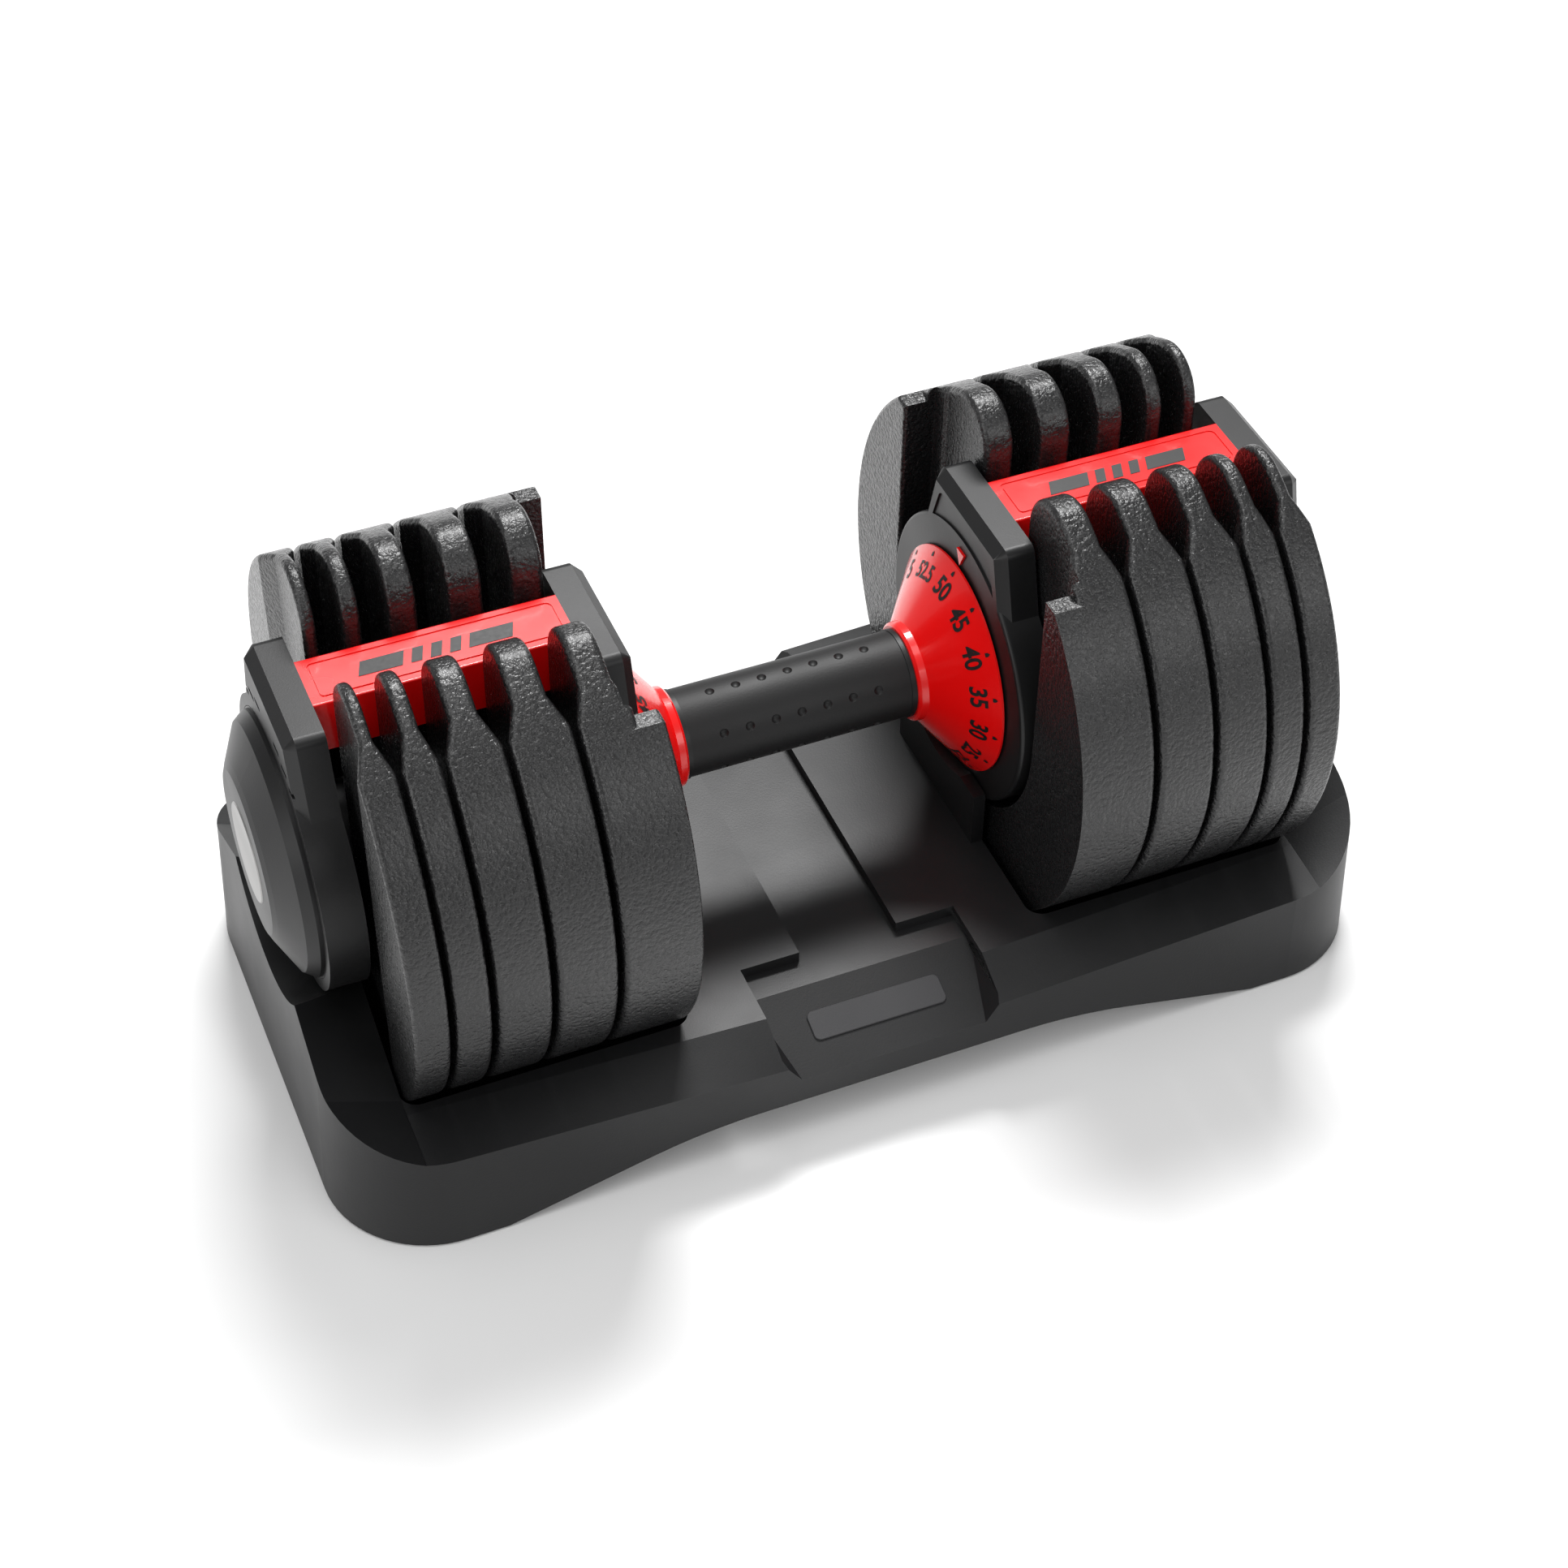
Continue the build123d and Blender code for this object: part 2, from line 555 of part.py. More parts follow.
pin_foot = -HOUSING_DRUM_RADIUS
tooth_foot = -(LOCK_RING_BORE - LOCK_TOOTH_CLEARANCE) + 0.2
with BuildPart() as lock_pin:
    with BuildSketch(across(LOCK_PIN_START)):
        with Locations((0, (pin_foot + PIN_TOP) / 2)):
            Rectangle(2 * LOCK_PIN_HALF_WIDTH, PIN_TOP - pin_foot)
    extrude(amount=LOCK_PIN_THICKNESS)
    with BuildSketch(across(LOCK_RING_START + LOCK_RING_WEB + AXIAL_CLEARANCE)):
        with Locations((0, (tooth_foot + PIN_TOP) / 2)):
            Rectangle(2 * LOCK_TOOTH_HALF_WIDTH, PIN_TOP - tooth_foot)
    extrude(until=Until.NEXT)
publish_pair(lock_pin.part, "lock_pin")

SPRING_X = LOCK_PIN_START + LOCK_PIN_THICKNESS / 2
with BuildPart() as lock_spring:
    coil_height = LOCK_SPRING_LENGTH - 2 * LOCK_WIRE_RADIUS - 0.2
    with BuildLine():
        coil = Helix(
            pitch=coil_height / LOCK_SPRING_TURNS,
            height=coil_height,
            radius=LOCK_SPRING_RADIUS,
            center=(SPRING_X, 0, AXIS_HEIGHT + PIN_TOP + LOCK_WIRE_RADIUS + 0.1),
        )
    with BuildSketch(Plane(origin=coil @ 0, z_dir=coil % 0)):
        Circle(LOCK_WIRE_RADIUS)
    sweep(is_frenet=True)
publish_pair(lock_spring.part, "lock_spring")

# ---------------------------------------------------------------- end housings
SCREW_CIRCLE = 48.0
BACK_SCREW_RADIUS = 1.6
BACK_SCREW_HEAD_RADIUS = 3.2
BACK_SCREW_HEAD = 1.2
BACK_SCREW_LENGTH = 8.0
SCREW_BOSS_RADIUS = 4.4
HOUSING_CAVITY_RADIUS = HOUSING_DRUM_RADIUS - 4.5
SOCKET_CLEARANCE = 0.2
SOCKET_WALL = 2.6
GUIDE_WIDTH = 2.0
VENT_COUNT = 3
VENT_LENGTH = 7.0
VENT_WIDTH = 1.8
VENT_DEPTH = 0.8


def block_outline(inset=0.0):
    """A housing's upper block, seen along the handle: a trapezoid with rounded top corners."""
    points = [
        (BLOCK_FOOT_HALF_WIDTH - inset, BLOCK_FOOT),
        (BLOCK_TOP_HALF_WIDTH - inset, BLOCK_TOP - inset),
        (inset - BLOCK_TOP_HALF_WIDTH, BLOCK_TOP - inset),
        (inset - BLOCK_FOOT_HALF_WIDTH, BLOCK_FOOT),
    ]
    with BuildSketch(Plane.XY) as outline:
        with BuildLine():
            Polyline(*points, close=True)
        make_face()
        fillet(outline.vertices().group_by(Axis.Y)[-1], radius=HOUSING_ROUNDING)
    return outline.sketch


def beam_socket(clearance):
    """Section of the beam over the plates, with room around it for its sockets."""
    with BuildSketch(Plane.XY) as section:
        with Locations((0, BEAM_TOP - BEAM_HEIGHT / 2)):
            Rectangle(2 * (BEAM_HALF_WIDTH + clearance), BEAM_HEIGHT + 2 * clearance)
    return section.sketch


def upper_block(start, bevelled_face, drum_radius):
    """Drum and upper block in one, bevelled on the face that looks away from the plates."""
    with BuildPart() as block:
        with BuildSketch(across(start)):
            Circle(drum_radius)
            add(block_outline())
        extrude(amount=HOUSING_DEPTH)
        face = block.faces().sort_by(Axis.X)[0 if bevelled_face == "inner" else -1]
        rim_edges = [e for e in face.edges() if e.position_at(0.5).Z > AXIS_HEIGHT + BLOCK_FOOT]
        chamfer(rim_edges, length=BLOCK_BEVEL)
    return block.part


def block_cavity(start, depth, drum_wall_radius):
    """Hollow of the upper block round the beam's socket."""
    with BuildPart() as cavity:
        with BuildSketch(across(start)):
            add(block_outline(inset=3 * HOUSING_WALL))
            Circle(drum_wall_radius, mode=Mode.SUBTRACT)
            add(beam_socket(SOCKET_WALL), mode=Mode.SUBTRACT)
        extrude(amount=depth)
    return cavity.part


def screw_places():
    return PolarLocations(SCREW_CIRCLE, 4, start_angle=45)


def beam_pin_hole(x, radius, foot, top):
    with BuildPart() as hole:
        with BuildSketch(Plane.XY.offset(AXIS_HEIGHT + foot)):
            with Locations((x, 0)):
                Circle(radius)
        extrude(amount=top - foot)
    return hole.part


BEAM_START = HOUSING_END - BEAM_SOCKET_DEPTH
BEAM_END = OUTER_START + BEAM_SOCKET_DEPTH
BEAM_PIN_PLACES = (HOUSING_END - BEAM_SOCKET_DEPTH / 2, OUTER_START + BEAM_SOCKET_DEPTH / 2)
BEAM_PIN_FOOT = BEAM_TOP - BEAM_HEIGHT
BEAM_PIN_TOP = BEAM_TOP + 3.0

with BuildPart() as inner_housing:
    add(upper_block(HOUSING_START, "inner", HOUSING_DRUM_RADIUS))
    drum_edge = inner_housing.edges().filter_by(GeomType.CIRCLE).group_by(Axis.X)[0]
    fillet([e for e in drum_edge if e.position_at(0.5).Z < AXIS_HEIGHT], radius=1.5)
    with BuildSketch(across(CAVITY_START)):
        Circle(HOUSING_CAVITY_RADIUS)
    extrude(amount=HOUSING_DEPTH, mode=Mode.SUBTRACT)
    with BuildSketch(across(CAVITY_START - 0.5)):
        with screw_places():
            Circle(SCREW_BOSS_RADIUS)
    extrude(amount=BACK_PLATE_START - CAVITY_START + 0.5)
    with BuildSketch(across(BACK_PLATE_START - BACK_SCREW_LENGTH)):
        with screw_places():
            Circle(BACK_SCREW_RADIUS)
    extrude(amount=BACK_SCREW_LENGTH, mode=Mode.SUBTRACT)
    with BuildSketch(across(HOUSING_START - 1)):
        Circle(GRIP_RADIUS - 2.5 + SIDE_CLEARANCE)
    extrude(amount=HOUSING_DEPTH, mode=Mode.SUBTRACT)
    add(block_cavity(CAVITY_START, HOUSING_DEPTH, HOUSING_DRUM_RADIUS), mode=Mode.SUBTRACT)
    with BuildSketch(across(BEAM_START)):
        add(beam_socket(SOCKET_CLEARANCE))
    extrude(amount=HOUSING_DEPTH, mode=Mode.SUBTRACT)
    add(beam_pin_hole(BEAM_PIN_PLACES[0], BEAM_PIN_RADIUS, BEAM_PIN_FOOT, BEAM_PIN_TOP), mode=Mode.SUBTRACT)
    with BuildSketch(across(HOUSING_START)):
        add(block_outline(inset=PANEL_INSET))
        Circle(HOUSING_DRUM_RADIUS, mode=Mode.SUBTRACT)
    extrude(amount=PANEL_DEPTH, mode=Mode.SUBTRACT)
    with BuildSketch(across(LOCK_PIN_START - SIDE_CLEARANCE)):
        with Locations((0, -HOUSING_DRUM_RADIUS)):
            Rectangle(2 * (LOCK_PIN_HALF_WIDTH + SIDE_CLEARANCE), 12)
    extrude(amount=LOCK_PIN_THICKNESS + 2 * SIDE_CLEARANCE, mode=Mode.SUBTRACT)
publish_pair(inner_housing.part, "inner_housing")

GUIDE_TOP = PIN_TOP - 1.0
SEAT_TOP = -BUSH_RADIUS - 1.0
SEAT_FOOT = PIN_TOP + LOCK_SPRING_LENGTH
with BuildPart() as back_plate:
    with BuildSketch(across(BACK_PLATE_START)):
        Circle(HOUSING_CAVITY_RADIUS - SOCKET_CLEARANCE)
    extrude(amount=BACK_PLATE_THICKNESS)
    with BuildSketch(across(HOUSING_END - BUSH_LENGTH)):
        Circle(BUSH_RADIUS + 3)
    extrude(amount=BUSH_LENGTH)
    with BuildSketch(across(HOUSING_END - BUSH_LENGTH)):
        Circle(BUSH_RADIUS)
    extrude(amount=BUSH_LENGTH, mode=Mode.SUBTRACT)
    with BuildSketch(across(LOCK_PIN_START)):
        with Locations((0, (SEAT_TOP + SEAT_FOOT) / 2)):
            Rectangle(2 * LOCK_PIN_HALF_WIDTH, SEAT_TOP - SEAT_FOOT)
        guide_middle = LOCK_PIN_HALF_WIDTH + SIDE_CLEARANCE + GUIDE_WIDTH / 2
        with Locations(*((side * guide_middle, (GUIDE_TOP - 50) / 2) for side in (-1, 1))):
            Rectangle(GUIDE_WIDTH, 50 + GUIDE_TOP)
    extrude(amount=BACK_PLATE_START - LOCK_PIN_START)
    with BuildSketch(across(BACK_PLATE_START)):
        with screw_places():
            Circle(BACK_SCREW_RADIUS + SOCKET_CLEARANCE)
    extrude(amount=BACK_PLATE_THICKNESS, mode=Mode.SUBTRACT)
    with BuildSketch(across(HOUSING_END - BACK_SCREW_HEAD)):
        with screw_places():
            Circle(BACK_SCREW_HEAD_RADIUS + SOCKET_CLEARANCE)
    extrude(amount=BACK_SCREW_HEAD, mode=Mode.SUBTRACT)
publish_pair(back_plate.part, "back_plate")

with BuildPart() as back_screws:
    with BuildSketch(across(BACK_PLATE_START - BACK_SCREW_LENGTH + 1)):
        with screw_places():
            Circle(BACK_SCREW_RADIUS)
    extrude(amount=BACK_SCREW_LENGTH)
    with BuildSketch(across(HOUSING_END - BACK_SCREW_HEAD)):
        with screw_places():
            Circle(BACK_SCREW_HEAD_RADIUS)
    extrude(amount=BACK_SCREW_HEAD)
    with BuildSketch(across(HOUSING_END)):
        with screw_places():
            Rectangle(BACK_SCREW_HEAD_RADIUS, 0.9)
            Rectangle(0.9, BACK_SCREW_HEAD_RADIUS)
    extrude(amount=-0.6, mode=Mode.SUBTRACT)
publish(both_ends(back_screws.part), "back_plate_screws")

bush_starts = (HOUSING_END - BUSH_LENGTH, OUTER_START)
bushes = Compound(children=[tube(x, x + BUSH_LENGTH, BUSH_RADIUS, BUSH_BORE) for x in bush_starts])
publish(both_ends(bushes), "shaft_bushes")

OUTER_CAVITY_RADIUS = OUTER_DRUM_RADIUS - OUTER_DRUM_WALL
with BuildPart() as outer_housing:
    add(upper_block(OUTER_START, "outer", OUTER_DRUM_RADIUS))
    with BuildSketch(across(OUTER_START + 3)):
        Circle(OUTER_CAVITY_RADIUS)
        Circle(BUSH_RADIUS + 3, mode=Mode.SUBTRACT)
    extrude(amount=HOUSING_DEPTH, mode=Mode.SUBTRACT)
    with BuildSketch(across(OUTER_START + BUSH_LENGTH + 1)):
        Circle(BUSH_RADIUS + 4)
    extrude(amount=HOUSING_DEPTH, mode=Mode.SUBTRACT)
    with BuildSketch(across(OUTER_START)):
        Circle(BUSH_RADIUS)
    extrude(amount=BUSH_LENGTH, mode=Mode.SUBTRACT)
    with BuildSketch(across(OUTER_START)):
        Circle(BUSH_RADIUS - 1)
    extrude(amount=HOUSING_DEPTH, mode=Mode.SUBTRACT)
    add(block_cavity(OUTER_START - 1, HOUSING_DEPTH - 2, OUTER_DRUM_RADIUS), mode=Mode.SUBTRACT)
    with BuildSketch(across(BEAM_END)):
        add(beam_socket(SOCKET_CLEARANCE))
    extrude(amount=-HOUSING_DEPTH, mode=Mode.SUBTRACT)
    add(beam_pin_hole(BEAM_PIN_PLACES[1], BEAM_PIN_RADIUS, BEAM_PIN_FOOT, BEAM_PIN_TOP), mode=Mode.SUBTRACT)
    with BuildSketch(across(OUTER_START + HOUSING_DEPTH)):
        for side in (0, 180):
            for vent in range(VENT_COUNT):
                turn = math.radians(side + (-1 if side else 1) * (78 - 9 * vent))
                with Locations((58.5 * math.cos(turn), 58.5 * abs(math.sin(turn)))):
                    Rectangle(VENT_LENGTH, VENT_WIDTH)
    extrude(amount=-VENT_DEPTH, mode=Mode.SUBTRACT)
publish_pair(outer_housing.part, "outer_housing")

OUTER_FACE = OUTER_START + HOUSING_DEPTH
DOME_PROFILE = [(0.0, 50.0), (1.6, 50.0), (5.6, 47.0), (12.2, 34.0), (DOME_DEPTH, 31.0)]
with BuildPart() as dome_cap:
    with BuildSketch(along()):
        with BuildLine():
            outside = [(OUTER_FACE + x, radius) for x, radius in DOME_PROFILE]
            inside = [
                (OUTER_FACE + DOME_DEPTH - DOME_WALL, 0),
                (OUTER_FACE + DOME_DEPTH - DOME_WALL, 29.0),
                (OUTER_FACE + 9.8, 32.0),
                (OUTER_FACE + 3.6, 44.6),
                (OUTER_FACE, 47.4),
                (OUTER_FACE - DOME_SPIGOT, 47.4),
                (OUTER_FACE - DOME_SPIGOT, OUTER_CAVITY_RADIUS - SOCKET_CLEARANCE),
                (OUTER_FACE, OUTER_CAVITY_RADIUS - SOCKET_CLEARANCE),
            ]
            Polyline((OUTER_FACE + DOME_DEPTH, 0), *inside, *outside, close=True)
        make_face()
    revolve(axis=HANDLE_AXIS)
    with BuildSketch(across(OUTER_FACE + DOME_DEPTH - MEDALLION_THICKNESS + 0.4)):
        Circle(MEDALLION_RADIUS)
    extrude(amount=2, mode=Mode.SUBTRACT)
publish_pair(dome_cap.part, "dome_cap")

medallion_start = OUTER_FACE + DOME_DEPTH - MEDALLION_THICKNESS + 0.4
with BuildPart() as medallion:
    with BuildSketch(across(medallion_start)):
        Circle(MEDALLION_RADIUS)
    extrude(amount=MEDALLION_THICKNESS)
    chamfer(medallion.edges().sort_by(Axis.X)[-1], 0.4)
publish_pair(medallion.part, "medallion")

with BuildPart() as pointer:
    with BuildSketch(across(HOUSING_START)):
        with BuildLine():
            tip = DIAL_RIM_RADIUS + POINTER_RIM_GAP
            half = POINTER_WIDTH / 2
            Polyline((0, tip), (half, tip + POINTER_HEIGHT), (-half, tip + POINTER_HEIGHT), close=True)
        make_face()
    extrude(amount=-POINTER_THICKNESS)
publish(both_ends(pointer.part), "setting_pointers")

# ---------------------------------------------------------------- beams and covers over the plates
COVER_SCREW_PLACES = (RIM_END[5] + 4, RIM_START[2] + 8)

with BuildPart() as top_beam:
    with BuildSketch(across(BEAM_START + SOCKET_CLEARANCE)):
        add(beam_socket(0))
    extrude(amount=BEAM_END - BEAM_START - 2 * SOCKET_CLEARANCE)
    for x in BEAM_PIN_PLACES:
        add(beam_pin_hole(x, BEAM_PIN_RADIUS, BEAM_PIN_FOOT, BEAM_PIN_TOP), mode=Mode.SUBTRACT)
    for x in COVER_SCREW_PLACES:
        hole = beam_pin_hole(x, COVER_SCREW_RADIUS + SOCKET_CLEARANCE, BEAM_PIN_FOOT, BEAM_TOP)
        add(hole, mode=Mode.SUBTRACT)
        add(
            beam_pin_hole(x, COVER_SCREW_HEAD_RADIUS + SOCKET_CLEARANCE, BEAM_PIN_FOOT, BEAM_PIN_FOOT + 3),
            mode=Mode.SUBTRACT,
        )
publish_pair(top_beam.part, "top_beam")

beam_pins = Compound(
    children=[beam_pin_hole(x, BEAM_PIN_RADIUS, BEAM_PIN_FOOT, BEAM_PIN_TOP) for x in BEAM_PIN_PLACES]
)
publish(both_ends(beam_pins), "beam_dowel_pins")

COVER_SCREW_FOOT = BEAM_PIN_FOOT + 3 - COVER_SCREW_HEAD
COVER_SCREW_TOP = BEAM_TOP + 3.4


def cover_screw(x):
    with BuildPart() as screw:
        add(beam_pin_hole(x, COVER_SCREW_RADIUS, COVER_SCREW_FOOT, COVER_SCREW_TOP))
        add(beam_pin_hole(x, COVER_SCREW_HEAD_RADIUS, COVER_SCREW_FOOT, BEAM_PIN_FOOT + 3))
    return screw.part


cover_screws = Compound(children=[cover_screw(x) for x in COVER_SCREW_PLACES])
publish(both_ends(cover_screws), "cover_screws")


def cover_section(inset):
    with BuildSketch(Plane.XY) as section:
        with BuildLine():
            Polyline(
                (COVER_FOOT_HALF_WIDTH - inset, COVER_FOOT - 2 * inset),
                (COVER_TOP_HALF_WIDTH - inset, BLOCK_TOP - inset),
                (inset - COVER_TOP_HALF_WIDTH, BLOCK_TOP - inset),
                (inset - COVER_FOOT_HALF_WIDTH, COVER_FOOT - 2 * inset),
                close=True,
            )
        make_face()
    return section.sketch


with BuildPart() as plate_cover:
    with BuildSketch(across(HOUSING_END)):
        add(cover_section(0))
    extrude(amount=OUTER_START - HOUSING_END)
    fillet(plate_cover.edges().filter_by(Axis.X).group_by(Axis.Z)[-1], radius=COVER_EDGE_RADIUS)
    with BuildSketch(across(HOUSING_END - 1)):
        add(cover_section(COVER_WALL))
    extrude(amount=OUTER_START - HOUSING_END + 2, mode=Mode.SUBTRACT)
    for x in COVER_SCREW_PLACES:
        add(beam_pin_hole(x, COVER_SCREW_HEAD_RADIUS, BEAM_TOP, BLOCK_TOP - 1))
        add(
            beam_pin_hole(x, COVER_SCREW_RADIUS, BEAM_TOP, COVER_SCREW_TOP),
            mode=Mode.SUBTRACT,
        )
    cover_length = OUTER_START - HOUSING_END
    with BuildSketch(Plane.XY.offset(AXIS_HEIGHT + BLOCK_TOP)):
        with Locations(((HOUSING_END + OUTER_START) / 2, 0)):
            border = (cover_length - 2 * BORDER_INSET, 2 * (COVER_TOP_HALF_WIDTH - BORDER_INSET))
            RectangleRounded(*border, radius=2.5)
            inner = (border[0] - 2 * BORDER_WIDTH, border[1] - 2 * BORDER_WIDTH)
            RectangleRounded(*inner, radius=2.5 - BORDER_WIDTH, mode=Mode.SUBTRACT)
    extrude(amount=-BORDER_DEPTH, mode=Mode.SUBTRACT)
publish_pair(plate_cover.part, "plate_cover")

# ---------------------------------------------------------------- tray
TRAY_HEIGHT_LIMIT = 100.0
BELOW = -1.0                 # hollows start just below the lowest edges


def tray_outline(inset, foot):
    """The tray's plan: a rectangle with large corners, drawn in slightly towards the top."""
    with BuildPart() as outline:
        with BuildSketch(Plane.XY.offset(foot)):
            RectangleRounded(
                TRAY_LENGTH - 2 * inset, TRAY_WIDTH - 2 * inset, TRAY_CORNER_RADIUS - inset
            )
        extrude(amount=TRAY_HEIGHT_LIMIT, taper=TRAY_DRAFT)
    return outline.part


def top_section(x, points, drop):
    """Half-and-half section of the tray's top at x; the first point may be a peak at the middle."""
    side = [(-y, z - drop) for y, z in reversed(points)]
    with BuildSketch(Plane(origin=(x, 0, 0), x_dir=(0, 1, 0), z_dir=(1, 0, 0))) as section:
        with BuildLine():
            outer = points[-1][0]
            middle = [(y, z - drop) for y, z in points]
            Polyline((-outer, BELOW - 1), *side, *middle, (outer, BELOW - 1), close=True)
        make_face()
    return section.sketch


def tray_top(drop):
    """Everything below the tray's top: the sloping deck and the raised block at each end."""
    end_start = WELL_END
    peak_inner, *block_inner = BLOCK_AT_WELL_END
    peak_outer, *block_outer = BLOCK_AT_TRAY_END
    with BuildPart() as top:
        for side in (-1, 1):
            middle = top_section(0, DECK_AT_MIDDLE, drop)
            deck_end = top_section(side * end_start, DECK_AT_WELL_END, drop)
            loft([middle, deck_end], ruled=True)
            block = top_section(side * end_start, [(2.0, peak_inner), *block_inner], drop)
            block_end = top_section(side * (TRAY_LENGTH / 2 + 1), [(2.0, peak_outer), *block_outer], drop)
            loft([block, block_end], ruled=True)
    return top.part


def wells(grown, floor):
    with BuildPart() as pair:
        with BuildSketch(Plane.XY.offset(floor)):
            for side in (-1, 1):
                with Locations((side * (WELL_START + WELL_END) / 2, 0)):
                    RectangleRounded(
                        WELL_END - WELL_START + 2 * grown,
                        2 * (WELL_HALF_WIDTH + grown),
                        WELL_CORNER_RADIUS + grown,
                    )
        extrude(amount=TRAY_HEIGHT_LIMIT)
    return pair.part


def channel(sunk):
    """The channel under the grip, which opens into a sloping pocket at the front and back."""
    floor = DECK_HEIGHT - CHANNEL_DEPTH - sunk
    with BuildPart() as trough:
        with BuildSketch(Plane.XY.offset(floor)):
            Rectangle(2 * (CHANNEL_HALF_WIDTH + sunk), 2 * POCKET_BEND)
        extrude(amount=TRAY_HEIGHT_LIMIT)
        for side in (-1, 1):
            with BuildSketch(Plane.YZ.offset(-CHANNEL_FLARE)):
                with BuildLine():
                    Polyline(
                        (side * (POCKET_START - sunk), floor),
                        (side * POCKET_BEND, floor),
                        (side * (TRAY_WIDTH / 2 + 3), POCKET_FRONT_HEIGHT - sunk),
                        (side * (TRAY_WIDTH / 2 + 3), TRAY_HEIGHT_LIMIT),
                        (side * (POCKET_START - sunk), TRAY_HEIGHT_LIMIT),
                        close=True,
                    )
                make_face()
            extrude(amount=2 * CHANNEL_FLARE)
    with BuildPart() as plan:
        with BuildSketch(Plane.XY.offset(POCKET_FRONT_HEIGHT - sunk - 2)):
            Rectangle(2 * (POCKET_HALF_WIDTH + sunk), TRAY_WIDTH + 20)
        extrude(amount=40, taper=CHANNEL_DRAFT)
    with BuildPart() as cut:
        add(trough.part)
        add(plan.part, mode=Mode.INTERSECT)
    return cut.part


def cradle(clearance):
    """Room for the outer housings and dome caps, cut into the raised end blocks."""
    with BuildPart() as room:
        for start, radius in ((WELL_END - 1, OUTER_DRUM_RADIUS), (OUTER_END + 2, 50.0)):
            with BuildSketch(across(start)):
                Circle(radius + clearance)
                with Locations((0, radius)):
                    Rectangle(2 * (radius + clearance), 2 * radius)
            extrude(amount=TRAY_LENGTH / 2 + 5 - start)
        mirror(about=Plane.YZ)
    return room.part


SADDLE_FOOT = DECK_HEIGHT - 4.0

with BuildPart() as underside:
    add(tray_outline(TRAY_WALL, BELOW))
    add(tray_top(TRAY_WALL), mode=Mode.INTERSECT)
    add(wells(TRAY_WALL, WELL_FLOOR - TRAY_WALL), mode=Mode.SUBTRACT)
    add(channel(TRAY_WALL), mode=Mode.SUBTRACT)
    add(cradle(CRADLE_CLEARANCE + TRAY_WALL), mode=Mode.SUBTRACT)
    with Locations(*((x, y, FOOT_THICKNESS) for x in (-FOOT_X, FOOT_X) for y in (-FOOT_Y, FOOT_Y))):
        Cylinder(FOOT_PAD_RADIUS, TRAY_WALL, align=STANDING, mode=Mode.SUBTRACT)
        Cylinder(FOOT_POST_RADIUS, 60, align=STANDING, mode=Mode.SUBTRACT)
    with Locations(*((0, y, FOOT_THICKNESS + 16) for y in (-60, -40, 40, 60))):
        Box(2 * WELL_START - 4, 2.0, 40, align=STANDING, mode=Mode.SUBTRACT)

with BuildPart() as arches:
    with BuildSketch(Plane.XZ.offset(WELL_HALF_WIDTH + TRAY_WALL + 4)) as arch:
        with BuildLine():
            Polyline(
                (-ARCH_HALF_LENGTH, -5),
                (-ARCH_HALF_LENGTH, 0),
                (-ARCH_FLAT_HALF_LENGTH, ARCH_HEIGHT),
                (ARCH_FLAT_HALF_LENGTH, ARCH_HEIGHT),
                (ARCH_HALF_LENGTH, 0),
                (ARCH_HALF_LENGTH, -5),
                close=True,
            )
        make_face()
        fillet(arch.vertices().group_by(Axis.Y)[-1], radius=200)
    extrude(amount=40)
    mirror(about=Plane.XZ)

with BuildPart() as tray_shell:
    add(tray_outline(0, SKIRT_FOOT))
    add(tray_top(0), mode=Mode.INTERSECT)
    for side in (-1, 1):
        with Locations((side * (WELL_START - SADDLE_THICKNESS / 2), 0, SADDLE_FOOT)):
            Box(
                SADDLE_THICKNESS,
                2 * SADDLE_HALF_WIDTH,
                AXIS_HEIGHT + SADDLE_TOP - SADDLE_FOOT,
                align=STANDING,
            )
    with BuildSketch(across(-WELL_START - 1)):
        Circle(DIAL_RIM_RADIUS + SADDLE_ARC_CLEARANCE)
    extrude(amount=2 * WELL_START + 2, mode=Mode.SUBTRACT)
    add(channel(0), mode=Mode.SUBTRACT)
    add(wells(0, WELL_FLOOR), mode=Mode.SUBTRACT)
    add(cradle(CRADLE_CLEARANCE), mode=Mode.SUBTRACT)
    add(underside.part, mode=Mode.SUBTRACT)
    add(arches.part, mode=Mode.SUBTRACT)
    with BuildSketch(Plane.XY):
        for side in (-1, 1):
            with Locations(*((side * x, y) for x, y in RACK_SCREW_PLACES)):
                Circle(RACK_SCREW_RADIUS + SOCKET_CLEARANCE)
    extrude(amount=WELL_FLOOR + 1, mode=Mode.SUBTRACT)
publish(tray_shell.part, "tray_shell")


